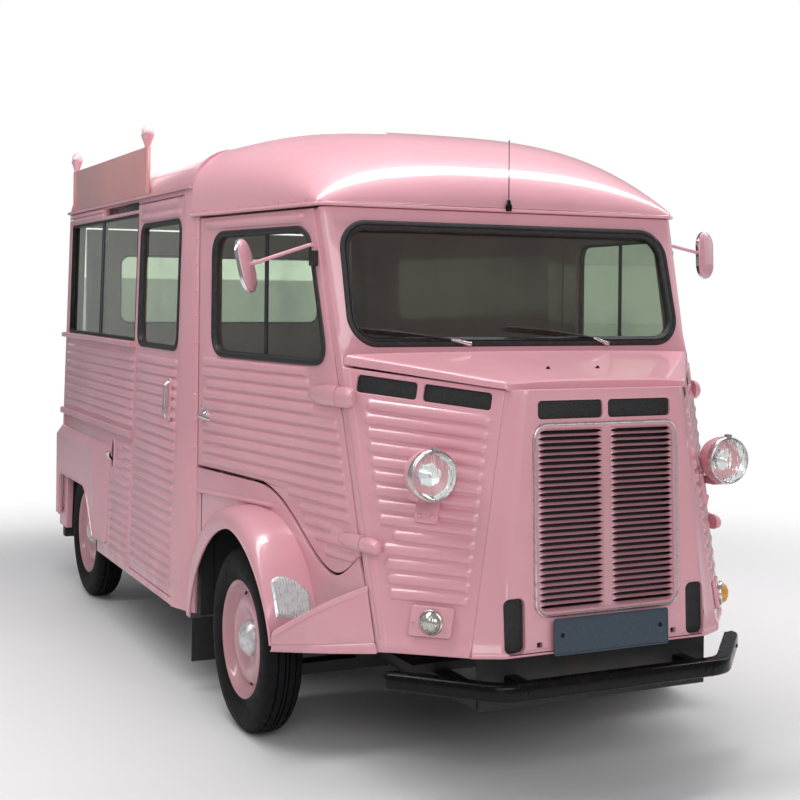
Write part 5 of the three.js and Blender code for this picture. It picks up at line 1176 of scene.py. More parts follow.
fold_cuts = []
for side in (-1, 1):
    for step in (-0.016, -0.011, -0.006, 0, 0.006, 0.011, 0.016, 0.03):
        fold_cuts.append(((side * (nose_bend(NOSE_FOOT) + step), NOSE_FOOT), (side, 0.1)))
fold_cuts += [((0, NOSE_FOOT + step), (0, 1)) for step in (0.003, 0.006, 0.009, 0.012, 0.015, 0.018, 0.022)]
fold_cuts += [((0, 0.55 + 0.1 * k), (0, 1)) for k in range(8)]
nose_line = [
    (-nose_half(NOSE_FOOT), NOSE_FOOT),
    (nose_half(NOSE_FOOT), NOSE_FOOT),
    (nose_half(NOSE_TOP), NOSE_TOP),
    (-nose_half(NOSE_TOP), NOSE_TOP),
]
top_vent = rounded(0.011, 1.216, 0.258, 1.275, 0.013, 5)
low_vent = rounded(0.314, 0.474, 0.388, 0.648, 0.022, 6)
tow_slot = rounded(0.250, 0.486, 0.270, 0.502, 0.003, 2)
nose_loops = [nose_line, rounded(*GRILLE, 0.044, 8)[::-1]]
for hole in (top_vent, low_vent, tow_slot):
    nose_loops += [hole[::-1], [(-x, z) for x, z in hole]]
nose = pressed(nose_loops, on_nose, (), fold_cuts, nose_relief, 0.004, 0.020)
piece("nose_sheet", nose, PINK, stands_for=["nose_panel"])
for name, hole, sunk in (
    ("nose_top_vent", top_vent, 0.008), ("nose_low_vent", low_vent, 0.016), ("tow_slot_shade", tow_slot, 0.012),
):
    pair(name, screen(hole, on_nose, sunk), GAUZE)

# ---- Grille: 29 rows of louvres in two columns. Each blade's foot stands out and its head lies back,
# and the gap between two blades closes to a point at both ends. A pink flange and a thin bead frame it.
LOUVRE_ROWS = 29
LOUVRE_FOOT = 0.604
LOUVRE_TOP = 1.183
LOUVRE_PITCH = (LOUVRE_TOP - LOUVRE_FOOT) / LOUVRE_ROWS
LOUVRE_ENDS = (0.016, 0.262)
GAP_HALF = 0.0064
GAP_TAPER = 0.022
END_BLADE = 0.004


def gap_at(x):
    inside = min(x - LOUVRE_ENDS[0] - 0.002, LOUVRE_ENDS[1] - 0.002 - x)
    if inside <= 0:
        return 0.0002
    return GAP_HALF * min(inside / GAP_TAPER, 1) ** 0.6 + 0.0002


blades = bmesh.new()
spots = [0, 0.002, 0.005, 0.010, 0.016, 0.024, 0.06]
blade_xs = [LOUVRE_ENDS[0] + step for step in spots] + [LOUVRE_ENDS[1] - step for step in reversed(spots)]
for row in range(LOUVRE_ROWS + 1):
    z = LOUVRE_FOOT + LOUVRE_PITCH * row
    rings = []
    for x in blade_xs:
        open_by = gap_at(x) / GAP_HALF
        low = z - LOUVRE_PITCH / 2 + gap_at(x) if row else z - END_BLADE
        high = z + LOUVRE_PITCH / 2 - gap_at(x) if row < LOUVRE_ROWS else z + END_BLADE
        section = [
            (low, 0.0005 + 0.0075 * open_by),
            (low + 0.0012, 0.0022 + 0.0075 * open_by),
            ((low + high) / 2, 0.0015 + 0.003 * open_by),
            (high, 0.0005 - 0.004 * open_by),
            (high, -0.003 - 0.006 * open_by),
            (low, -0.003 + 0.004 * open_by),
        ]
        rings.append([on_nose(x, v, out) for v, out in section])
    drawn(rings, into=blades)
both_columns = joined(blades.copy(), on_right(blades))
GRILLE_PINK = enamel("grille_enamel", (0.60, 0.31, 0.35, 1), (0.53, 0.27, 0.31, 1), "grille_pink")
piece("grille_louvres", both_columns, GRILLE_PINK, stands_for=["grille"])
bar_box = (-0.017, LOUVRE_FOOT - 0.008, 0.017, LOUVRE_TOP + 0.008)
centre_bar = slip(bar_box, 0.003, 2, on_nose, 0.004, 0.003, 0.010)
piece("grille_bar", centre_bar, GRILLE_PINK)
FRAME_SECTION = [
    (-0.004, -0.004), (-0.004, 0.007), (-0.002, 0.010), (0.001, 0.011), (0.004, 0.009), (0.0055, 0.004),
    (0.0055, -0.002),
]
FLANGE_SECTION = [(-0.015, -0.008), (-0.015, 0.003), (-0.013, 0.006), (-0.004, 0.007), (-0.004, -0.008)]
STEEL = Paint("dull_plating", {
    "Base Color": (0.62, 0.56, 0.56, 1), "Metallic": 1.0, "Roughness": 0.3,
}, "mirror_chrome")
STEEL.worn((40.0, 5.0, 0.4, 0.8), (0.72, 0.68, 0.67, 1), (0.42, 0.36, 0.35, 1), (0.24, 0.25))
frame_line = rounded(-0.276, 0.586, 0.276, 1.198, 0.044, 8)
piece("grille_flange", moulding(frame_line, FLANGE_SECTION, on_nose), GRILLE_PINK)
piece("grille_frame", moulding(frame_line, FRAME_SECTION, on_nose), STEEL)
backing = slip((-0.272, 0.590, 0.272, 1.194), 0.040, 6, on_nose, -0.030, 0.002, 0.004)
piece("grille_backing", backing, GAUZE)

# Number plate: a blank dark blue pressed plate with a raised rim, held by two bolts on two brackets.
PLATE_BLUE = Paint("plate_blue", {"Base Color": (0.035, 0.055, 0.078, 1), "Roughness": 0.38}, "bumper_black")
PLATE_BLUE.worn((70.0, 5.0, 0.5, 0.9), (0.032, 0.050, 0.072, 1), (0.10, 0.12, 0.14, 1), (0.32, 0.3), 0.5)
PLATE = (-0.222, 0.459, 0.222, 0.578)
PLATE_RIM = (0.005, 0.007)


def plate_relief(u, v):
    inside = min(u - PLATE[0], PLATE[2] - u, v - PLATE[1], PLATE[3] - v)
    return 0.0025 * (1 - min(max((inside - PLATE_RIM[0]) / (PLATE_RIM[1] - PLATE_RIM[0]), 0), 1))


plate_cuts = []
for inset in PLATE_RIM:
    plate_cuts += [((PLATE[0] + inset, 0), (1, 0)), ((PLATE[2] - inset, 0), (1, 0))]
    plate_cuts += [((0, PLATE[1] + inset), (0, 1)), ((0, PLATE[3] - inset), (0, 1))]
plate_loop = rounded(*PLATE, 0.010, 5)
plate = pressed([plate_loop], raised(on_nose, 0.024), (), plate_cuts, plate_relief, 0.0012, 0.003)
piece("number_plate", plate, PLATE_BLUE)
holders = joined(*(
    slip((x - 0.014, 0.490, x + 0.014, 0.548), 0.003, 2, on_nose, 0.021, 0.002, 0.020) for x in (-0.16, 0.16)
))
piece("number_plate_brackets", holders, BLACK, slot="bumper_black")
plate_bolts = studs([on_nose(x, 0.523, 0.024) for x in (-0.190, 0.190)], NOSE_OUT, 0.008, 0.004)
piece("number_plate_bolts", plate_bolts, BLACK, slot="mirror_chrome")

# ---- Front wings: a panel under the door and a flare drawn out round the wheel, its edge rolled over
# a wire. A ridge runs under the door, and the front is carried on below a lapped seam to a pointed tip.
ARCH_Y = 1.100
ARCH_Z = 0.300
WHEEL_HOLE = {"ahead": 0.485, "behind": 0.495, "rise": 0.437, "power_ahead": 1.8, "power_behind": 1.7}
FLARE_FOOT = {"ahead": 0.447, "behind": 0.580, "rise": 0.514, "power_ahead": 2.2, "power_behind": 2.1}
FLARE_END = 0.91
FLARE_LIP = 0.937
FLARE_POWERS = (3.2, 0.34)
FLARE_STEPS = 44
WING_REAR = CAB_REAR - 0.0005


def oval_at(t, ahead, behind, rise, power_ahead, power_behind):
    """A point of an oval over the wheel: t runs from its rear foot over the top to its front."""
    across = math.cos(math.pi * t)
    power = 2 / (power_behind if across > 0 else power_ahead)
    run = behind if across > 0 else -ahead
    return ARCH_Y + run * abs(across) ** power, ARCH_Z + rise * math.sin(math.pi * t) ** power


def flare_at(t, inwards, skin=0.0):
    """A point of the flare: inwards runs from its foot on the panel to its rolled edge."""
    y0, z0 = oval_at(t, **FLARE_FOOT)
    y1, z1 = oval_at(t, **WHEEL_HOLE)
    y, z = y0 + (y1 - y0) * inwards, z0 + (z1 - z0) * inwards
    outwards = (1 - (1 - inwards) ** FLARE_POWERS[0]) ** FLARE_POWERS[1]
    x = cab_x(y) - 0.003
    middle = Vector((0, ARCH_Y - y, ARCH_Z - z)).normalized() * (skin if inwards < 1 else 0)
    return Vector((x + (FLARE_LIP - x) * outwards - skin, y, z)) + middle


FLARE_SHARES = (0, 0.003, 0.012, 0.03, 0.06, 0.11, 0.18, 0.27, 0.38, 0.52, 0.68, 0.85, 1)
flare_ts = [FLARE_END * k / FLARE_STEPS for k in range(FLARE_STEPS + 1)]
flare_rings = []
for t in flare_ts:
    outer = [flare_at(t, share) for share in FLARE_SHARES]
    inner = [flare_at(t, share, 0.005) for share in FLARE_SHARES[::-2]]
    flare_rings.append(outer + inner)
rolled_edge = tube([flare_at(t, 1) - Vector((0.003, 0, 0)) for t in flare_ts], [0.0055] * len(flare_ts), 8)
flare = joined(drawn(flare_rings), rolled_edge)
cut = bmesh.ops.bisect_plane(
    flare, geom=flare.verts[:] + flare.edges[:] + flare.faces[:], dist=1e-5,
    plane_co=(0, WING_REAR, 0), plane_no=(0, 1, 0), clear_outer=True,
)
open_edges = [e for e in cut["geom_cut"] if isinstance(e, bmesh.types.BMEdge) and e.is_boundary]
bmesh.ops.triangle_fill(flare, edges=open_edges, use_beauty=True, normal=(0, 1, 0))
pair("wing_flare", flare, PINK, crease=40)

SEAM_POST = 0.630
WING_GAP = 0.007
wing_top = [(y + WING_GAP * 0.6, z) for y, z in door_foot(-WING_GAP)]
wing_line = [
    (WING_REAR, 0.360),
    (WING_REAR, ARCH_TOP - WING_GAP),
    *reversed(wing_top[:-1]),
    (door_front(SEAM_POST) - SHUT, SEAM_POST - 0.01),
    (0.410, 0.560),
    (0.628, 0.432),
]
hole_rim = [flare_at(FLARE_END * k / 30, 0.05) for k in range(31)]
wing_line += [(p.y, p.z) for p in reversed(hole_rim) if p.y < WING_REAR - 0.002]
RIDGE = (1.000, 0.826, 1.645, 0.807)
RIDGE_HALF = 0.009
RIDGE_HIGH = 0.010
ridge_slant = (RIDGE[3] - RIDGE[1]) / (RIDGE[2] - RIDGE[0])


def wing_relief(y, z):
    """The ridge under the door, a flat-topped fold that fades in at its front end."""
    across = abs(z - RIDGE[1] - (y - RIDGE[0]) * ridge_slant) / RIDGE_HALF
    ends = min(max((y - RIDGE[0]) / 0.02, 0), 1)
    return RIDGE_HIGH * ends * math.sqrt(max(1 - across * across, 0))


ridge_cuts = []
for share in (-1, -0.8, -4 / 9, 0, 4 / 9, 0.8, 1):
    ridge_cuts.append(((RIDGE[0], RIDGE[1] + RIDGE_HALF * share), (-ridge_slant, 1)))
ridge_cuts += [((RIDGE[0] + step, 0), (1, 0)) for step in (0, 0.01, 0.02)]
wing = pressed([wing_line], on_cab, (), ridge_cuts, wing_relief, 0.003, 0.012)
pair("wing_panel", wing, PINK, stands_for=["front_fender_{}"])

# The tip: a sheet from the pillar's foot out to the flare's edge, lapped under it along a seam strip.
TIP = [  # [height at the pillar, then the outer edge's y and height]
    (0.640, 0.622, 0.452), (0.590, 0.625, 0.440), (0.530, 0.629, 0.426), (0.473, 0.632, 0.412), (0.468, 0.634, 0.409),
    (0.462, 0.636, 0.406), (0.450, 0.639, 0.398), (0.438, 0.641, 0.388), (0.434, 0.642, 0.384),
]
TIP_OUT = (0, 0, 0.002, 0.003, -0.002, 0.007, 0.011, 0.008, 0.0)


def tip_ring(share, skin):
    """The sheet's section a share of the way out from the pillar, a skin inside its face."""
    ring = []
    bulge = math.sin(math.pi * share)
    for (post_z, lip_y, lip_z), swell in zip(TIP, TIP_OUT):
        post_y = screen_y(post_z) + 0.030
        post = Vector((cab_x(post_y) + 0.001, post_y, post_z))
        lip = Vector((FLARE_LIP - 0.004, lip_y, lip_z))
        lift = Vector((0, 0, 0.016 * bulge * min(max((post_z - 0.53) / 0.06, 0), 1)))
        ring.append(post.lerp(lip, share) + lift - cab_back * (swell + 0.012 * bulge) + cab_back * skin)
    return ring


tip_shares = [k / 14 for k in range(15)]
tip = drawn([tip_ring(share, 0) + tip_ring(share, 0.006)[::-1] for share in tip_shares])
pair("wing_tip", tip, PINK, crease=40)
STRIP = [(-0.0015, 0.008), (-0.005, 0.006), (-0.005, -0.012), (-0.001, -0.014), (0.003, -0.004)]
strip_top = [tip_ring(share, 0)[0] for share in tip_shares]
pair("wing_seam", drawn([[p + Vector((0, *step)) for step in STRIP] for p in strip_top]), PINK)

# Stone guard: a ribbed light alloy shield screwed to the flare's front, with a rounded top.
ALLOY = Paint("guard_alloy", {
    "Base Color": (0.60, 0.60, 0.61, 1), "Metallic": 0.55, "Roughness": 0.42,
}, "mirror_chrome")
ALLOY.worn((55.0, 4.0, 0.4, 0.85), (0.70, 0.70, 0.71, 1), (0.42, 0.41, 0.41, 1), (0.36, 0.2))
GUARD_RIBS = 12


def guard_at(across, up, out=0.0):
    """A point on the guard: across runs from the body to the flare's edge, up from foot to crown."""
    foot = 0.912 - 0.030 * across
    crown = 0.826 - 0.050 * across + 0.022 * abs(2 * across - 1) ** 2.6
    t = foot + (crown - foot) * up
    full, lift = FLARE_POWERS
    share = 1 - (1 - (0.10 + 0.72 * across) ** (1 / lift)) ** (1 / full)
    step = 0.002
    here = flare_at(t, share)
    normal = (flare_at(t, share + step) - here).cross(flare_at(t + step, share) - here).normalized()
    if normal.dot(Vector((0.3, -0.9, 0.3))) < 0:
        normal = -normal
    return here + normal * (0.0035 + out)


def guard_out(across, up):
    """How far a point stands out: upright ribs inside a plain border."""
    inner = min(across, 1 - across, up, 1 - up) / 0.055
    rib = 0.5 - 0.5 * math.cos(math.tau * GUARD_RIBS * min(max((across - 0.05) / 0.9, 0), 1))
    return 0.0035 * rib * min(max(inner - 0.6, 0), 1) + 0.002 * min(inner, 1)


guard_rings = []
GUARD_COLUMNS = GUARD_RIBS * 6 + 8
GUARD_UPS = (0, 0.02, 0.05, 0.09, 0.2, 0.35, 0.5, 0.65, 0.8, 0.9, 0.95, 0.98, 1)
for k in range(GUARD_COLUMNS + 1):
    across = k / GUARD_COLUMNS
    front = [guard_at(across, up, guard_out(across, up)) for up in GUARD_UPS]
    guard_rings.append(front + [guard_at(across, up, -0.003) for up in (1, 0.5, 0)])
pair("stone_guard", drawn(guard_rings), ALLOY, crease=50)
guard_corners = ((0.07, 0.10), (0.93, 0.10), (0.5, 0.95), (0.5, 0.04))
guard_screws = [guard_at(across, up, 0.002) for across, up in guard_corners]
pair("stone_guard_screws", studs(guard_screws, (0.35, -0.85, 0.2), 0.005, 0.003, 8), STEEL)

# ---- Rear wheel fairings: a pressed cover over each rear wheel, its top bevelled and its front slanted
# back to the body, riveted on through a flat flange.
FAIRING_OUT = 0.969
FAIRING = {"front": 2.985, "flat": 3.185, "rear": 4.104, "foot": 0.366, "bevel": 0.812, "top": 0.858}
FAIRING_HOLE = [(3.156, 0.320), (3.376, 0.606), (4.016, 0.606), (4.016, 0.200), (3.156, 0.200)]


def fairing_out(y, z):
    """How far the cover stands out at a place: the lesser of its plan and its section."""
    base = side_x(z) + 0.004
    plan = (y - FAIRING["front"]) / (FAIRING["flat"] - FAIRING["front"])
    section = (FAIRING["top"] - z) / (FAIRING["top"] - FAIRING["bevel"])
    return base + (FAIRING_OUT - base) * min(max(plan, 0), max(section, 0), 1)


def on_fairing(y, z, out):
    return Vector((fairing_out(y, z) + out, y, z))


hole = [point for point in soft_corners(FAIRING_HOLE, 0.07, 8) if point[1] > FAIRING["foot"]]
hole = [(3.188, FAIRING["foot"]), *hole, (4.016, FAIRING["foot"])]
fairing_line = [
    (FAIRING["front"], FAIRING["top"]),
    (FAIRING["front"], FAIRING["foot"] + 0.02),
    (FAIRING["front"] + 0.02, FAIRING["foot"]),
    *hole,
    (FAIRING["rear"], FAIRING["foot"]),
    (FAIRING["rear"], FAIRING["top"]),
]
spans = [((FAIRING["flat"] + step, 0), (1, 0)) for step in (-0.012, -0.006, 0, 0.006, 0.012)]
spans += [((0, FAIRING["bevel"] + step), (0, 1)) for step in (-0.010, -0.005, 0, 0.005)]
spans += [((0, FAIRING["top"] - 0.003), (0, 1)), ((FAIRING["front"] + 0.004, 0), (1, 0))]
spans += [((FAIRING["front"] + 0.05 * k, 0), (1, 0)) for k in range(1, 4)]
run = FAIRING["flat"] - FAIRING["front"]
spans.append(((FAIRING["front"], FAIRING["top"]), (FAIRING["top"] - FAIRING["bevel"], run)))
fairing = pressed([fairing_line], on_fairing, (), spans, None, 0.004, 0.014)
pair("fairing_cover", fairing, PINK, stands_for=["rear_fairing_{}"], crease=12)
EDGE_SECTION = [(0.004, -0.008), (0.004, 0.003), (0.0, 0.005), (-0.005, 0.003), (-0.006, -0.004), (-0.002, -0.008)]
fairing_rim = moulding(hole, EDGE_SECTION, on_fairing, closed=False)
pair("fairing_edge", fairing_rim, PINK, crease=50)

# ---- Wheels: radial tyres with a plain ribbed tread on pressed steel wheels, each with a rolled flange,
# ten hand holes in its dished centre, a dark drum behind them and a light alloy hub cap.
WHEEL_X = 0.851
FRONT_AXLE = 1.026
HUB_Z = 0.338
TYRE = Paint("tyre_black", {
    "Base Color": (0.009, 0.009, 0.010, 1), "Roughness": 0.7, "Specular IOR Level": 0.12,
}, "tyre_rubber")
TYRE.worn((24.0, 6.0, 0.45, 0.85), (0.005, 0.005, 0.006, 1), (0.016, 0.015, 0.015, 1), (0.6, 0.25), 0.5)
TYRE.grain(230.0, 3.0, 0.0006, 0.5)
# The wheels' enamel is the body's pink made about a fifth darker: painted shade for the wheels that sit under the
# arches.
WHEEL_SHADED_PINK = enamel("wheel_enamel_shaded", (0.55, 0.265, 0.30, 1), (0.48, 0.24, 0.27, 1), "wheel_pink")
half_tyre = [
    (0.058, 0.214), (0.062, 0.222), (0.0665, 0.236), (0.0672, 0.240), (0.0715, 0.256), (0.0725, 0.276),
    (0.0705, 0.296), (0.0655, 0.312), (0.058, 0.323), (0.050, 0.3305), (0.0425, 0.3345), (0.036, 0.336),
    (0.0345, 0.329), (0.031, 0.329), (0.0295, 0.337), (0.0105, 0.338), (0.009, 0.330), (0.0055, 0.330),
    (0.004, 0.338),
]
tyre_profile = half_tyre + [(-along, radius) for along, radius in reversed(half_tyre)]


def cut_notches(mesh):
    """A notch across each shoulder at every fourth step round the tyre."""
    for vert in mesh.verts:
        step = round(math.degrees(math.atan2(vert.co.y, vert.co.x)) / 2.5)
        if step % 4 == 0 and 0.028 <= abs(vert.co.z) <= 0.052:
            vert.co.xy *= 1 - 0.006 / vert.co.xy.length


def cut_holes(mesh):
    """Ten hand holes through the disc, which is then given its thickness."""
    bmesh.ops.recalc_face_normals(mesh, faces=mesh.faces)
    holes = []
    for face in mesh.faces:
        middle = face.calc_center_median()
        sector = math.floor(math.degrees(math.atan2(middle.y, middle.x)) / 3)
        if 0.160 < middle.xy.length < 0.170 and sector % 12 < 4:
            holes.append(face)
    bmesh.ops.delete(mesh, geom=holes, context="FACES")
    bmesh.ops.solidify(mesh, geom=mesh.faces, thickness=0.003)


rim_profile = [
    (0.058, 0.216), (0.060, 0.211), (0.056, 0.206), (0.050, 0.200), (0.044, 0.197), (0.030, 0.190),
    (0.020, 0.176), (-0.020, 0.176), (-0.035, 0.195), (-0.056, 0.200), (-0.058, 0.216), (-0.054, 0.217),
    (-0.052, 0.205), (-0.033, 0.199), (-0.019, 0.180), (0.0175, 0.180), (0.027, 0.194), (0.043, 0.201),
    (0.048, 0.205), (0.053, 0.210), (0.055, 0.217),
]
disc_profile = [
    (0.010, 0.179), (0.020, 0.176), (0.0245, 0.171), (0.0305, 0.159), (0.036, 0.145), (0.0385, 0.130),
    (0.036, 0.112), (0.027, 0.095), (0.0215, 0.080), (0.0205, 0.068), (0.0200, 0.020),
]
cap_profile = [
    (0.018, 0), (0.018, 0.066), (0.022, 0.0665), (0.030, 0.064), (0.042, 0.056), (0.052, 0.042),
    (0.0575, 0.028), (0.0565, 0.0265), (0.0575, 0.025), (0.061, 0.012), (0.0615, 0),
]
for end, hub_y in (("front", FRONT_AXLE), ("rear", REAR_AXLE)):
    hub = Vector((WHEEL_X, hub_y, HUB_Z))
    body = end + "_wheel_{}"
    out = (1, 0, 0)
    tyre = turned(tyre_profile, hub, out, 144, True, cut_notches)
    pair(f"tyre_{end}_ribbed", tyre, TYRE, body, [f"tyre_{end}_{{}}"], crease=40)
    rim = turned(rim_profile, hub, out, 96, True)
    pair(f"wheel_{end}_rim", rim, WHEEL_SHADED_PINK, body, [f"wheel_{end}_{{}}"], crease=50)
    disc = turned(disc_profile, hub, out, 120, False, cut_holes)
    pair(f"wheel_{end}_disc", disc, WHEEL_SHADED_PINK, body)
    drum = turned([(-0.008, 0), (-0.008, 0.168), (0.004, 0.168), (0.004, 0)], hub, out, 48)
    pair(f"wheel_{end}_drum", drum, BLACK, body, slot="chassis_black")
    cap = turned(cap_profile, hub, out, 48)
    pair(f"hub_cap_{end}", cap, ALLOY, body, crease=50)


IRON = Paint("chassis_iron", {"Base Color": (0.022, 0.021, 0.021, 1), "Roughness": 0.6}, "chassis_black")
IRON.worn((18.0, 6.0, 0.5, 0.8), (0.018, 0.018, 0.019, 1), (0.07, 0.045, 0.035, 1), (0.55, 0.3), 0.5)


# Wheel-house walls: black sheets that close the arches behind the wheels.
def block(low, high, soft=0.002, segments=2):
    """A box with its edges rounded."""
    mesh = bmesh.new()
    bmesh.ops.create_cube(mesh, size=1)
    low, high = Vector(low), Vector(high)
    bmesh.ops.scale(mesh, vec=high - low, verts=mesh.verts)
    bmesh.ops.translate(mesh, vec=(low + high) / 2, verts=mesh.verts)
    bmesh.ops.bevel(mesh, geom=mesh.edges[:], offset=soft, segments=segments, affect="EDGES")
    return mesh


pair("wheel_house_front", block((0.790, 1.600, 0.300), (0.886, 1.6485, 0.800)), IRON)
pair("wheel_house_rear", block((0.790, 3.990, 0.240), (0.938, 4.050, 0.640)), IRON)

# ---- Headlamps: a pressed bullet-shaped bucket on a bracket that is bolted to the cheek, with a plated
# rim held by a clip at its top, a bright bowl and a patterned glass.
HEADLAMP = Vector((0.585, 0.096, 1.037))
BACKWARDS = (0, 1, 0)
bucket_profile = [
    (0.060, 0), (0.012, 0.077), (0.010, 0.080), (0.016, 0.0835), (0.030, 0.084), (0.055, 0.080),
    (0.080, 0.070), (0.102, 0.053), (0.118, 0.032), (0.125, 0.012), (0.126, 0),
]
bucket = turned(bucket_profile, HEADLAMP, BACKWARDS, 48)
pair("headlamp_bucket", bucket, PINK, stands_for=["headlamp_{}"], slot="lamp_pink", crease=60)
ring_profile = [
    (-0.004, 0.0765), (-0.006, 0.0785), (-0.005, 0.0815), (0.000, 0.0840), (0.010, 0.0860), (0.016, 0.0862),
    (0.017, 0.083), (0.008, 0.0815), (0.002, 0.0785),
]
bowl_profile = [
    (0.014, 0), (0.016, 0.006), (0.020, 0.009), (0.044, 0.008), (0.042, 0.022), (0.034, 0.045), (0.020, 0.064),
    (0.004, 0.0780), (0.006, 0.0790), (0.052, 0.030), (0.054, 0),
]
rim = turned(ring_profile, HEADLAMP, BACKWARDS, 64, True)
clip = block(HEADLAMP + Vector((-0.010, -0.006, 0.082)), HEADLAMP + Vector((0.010, 0.020, 0.093)), 0.003)
pair("headlamp_rim", joined(rim, clip), STEEL, crease=50)
bowl = turned(bowl_profile, HEADLAMP, BACKWARDS, 48)
pair("headlamp_bowl", bowl, CHROME, crease=50)
LENS = Paint("lamp_lens", {
    "Base Color": (0.93, 0.95, 0.93, 1), "Roughness": 0.06, "Transmission Weight": 1.0, "IOR": 1.35,
}, "window_glass")
LENS.grain(52.0, 1.0, 0.010, 0.9, (1, 1, 0.35))
dome_profile = [
    (-0.025, 0), (-0.0235, 0.027), (-0.019, 0.048), (-0.012, 0.066), (-0.004, 0.0780), (0.000, 0.0780),
    (-0.008, 0.064), (-0.015, 0.047), (-0.0195, 0.026), (-0.021, 0),
]
pair("headlamp_glass", turned(dome_profile, HEADLAMP, BACKWARDS, 48), LENS, crease=60)
bracket = slip((0.172, 0.862, 0.254, 0.978), 0.008, 3, on_cheek, 0.019, 0.004, 0.016)
arm = block((0.560, 0.150, 0.945), (0.612, 0.235, 0.972), 0.004)
pair("headlamp_bracket", joined(bracket, arm), PINK, slot="lamp_pink")
cheek_way = on_cheek(0.2, 0.9, 1) - on_cheek(0.2, 0.9, 0)
bracket_bolts = [on_cheek(u, 0.884, 0.019) for u in (0.190, 0.236)]
pair("headlamp_bolts", studs(bracket_bolts, cheek_way, 0.0075, 0.006, 12), PINK, slot="lamp_pink")

# Lower lamps: a small domed lamp on an oblong plate, screwed to each cheek. The left one is amber.
LOWER_Z = 0.566
lower_u = cheek_long(LOWER_Z) * 0.42
plate_box = (lower_u - 0.075, 0.520, lower_u + 0.075, 0.612)
lamp_plate = slip(plate_box, 0.010, 4, on_cheek, 0.016, 0.003, 0.014)
pair("lower_lamp_plate", lamp_plate, PINK, stands_for=["lower_lamp_{}"], slot="lamp_pink")
lower_way = on_cheek(lower_u, LOWER_Z, 1) - on_cheek(lower_u, LOWER_Z, 0)
plate_screws = [on_cheek(lower_u + step, LOWER_Z + up, 0.016) for step, up in ((-0.064, 0.020), (0.064, -0.006))]
pair("lower_lamp_screws", studs(plate_screws, lower_way, 0.005, 0.004), PINK, slot="lamp_pink")
lamp_seat = on_cheek(lower_u - 0.004, LOWER_Z, 0.015)
collar = [(0, 0.041), (0.007, 0.043), (0.012, 0.041), (0.014, 0.037), (0.010, 0.0345), (0, 0.0345)]
pair("lower_lamp_rim", turned(collar, lamp_seat, lower_way, 40, True), STEEL, crease=50)
AMBER = Paint("amber_lens", {
    "Base Color": (0.85, 0.42, 0.05, 1), "Roughness": 0.12, "Transmission Weight": 0.35, "IOR": 1.4,
}, "window_glass")
AMBER.grain(90.0, 1.0, 0.004, 0.7, (1, 1, 0.3))
SMOKE = Paint("clear_lamp_lens", {
    "Base Color": (0.52, 0.50, 0.46, 1), "Roughness": 0.16, "Metallic": 0.7,
}, "window_glass")
SMOKE.grain(75.0, 1.0, 0.006, 0.9, (1, 1, 0.3))
dome = [(0.004, 0), (0.006, 0.036), (0.017, 0.034), (0.027, 0.026), (0.033, 0.013), (0.035, 0)]
for side, paint in (("left", AMBER), ("right", SMOKE)):
    glass = turned(dome, lamp_seat, lower_way, 32)
    if side == "right":
        on_right(glass)
    piece(f"lower_lamp_glass_{side}", glass, paint, crease=60)

# ---- Bumper: one black channel, bent back at both ends and bolted to two irons from the cross member.
half_bar = bezier([(0.372, -0.107), (0.415, -0.107), (0.452, -0.091), (0.478, -0.062)], 8)
half_bar += bezier([(0.690, 0.168), (0.706, 0.185), (0.712, 0.199), (0.704, 0.215)], 5)
bar_line = [(-x, y) for x, y in reversed(half_bar)] + half_bar
CHANNEL = [
    (-0.048, 0.027), (-0.010, 0.027), (-0.004, 0.0245), (0, 0.018), (0, -0.018), (-0.004, -0.0245),
    (-0.010, -0.027), (-0.048, -0.027), (-0.048, -0.023), (-0.011, -0.023), (-0.004, -0.016),
    (-0.004, 0.016), (-0.011, 0.023), (-0.048, 0.023),
]
BUMPER_Z = 0.371
bar = moulding(bar_line, CHANNEL, lambda u, v, out: Vector((u, v, BUMPER_Z + out)), closed=False)
irons = [block((x - 0.024, -0.100, 0.351), (x + 0.024, 0.236, 0.391), 0.004) for x in (-0.33, 0.33)]
piece("bumper_bar", joined(bar, *irons), BLACK, stands_for=["front_bumper"], slot="bumper_black", crease=40)
end_bolt = studs([Vector((0.640, 0.1125, BUMPER_Z))], (0.735, -0.679, 0), 0.007, 0.005)
pair("bumper_end_bolt", end_bolt, BLACK, slot="bumper_black")
bolts = [Vector((x, -0.107, BUMPER_Z)) for x in (-0.372, -0.342, 0.342, 0.372)]
piece("bumper_bolts", studs(bolts, (0, -1, 0), 0.007, 0.005), BLACK, slot="bumper_black")

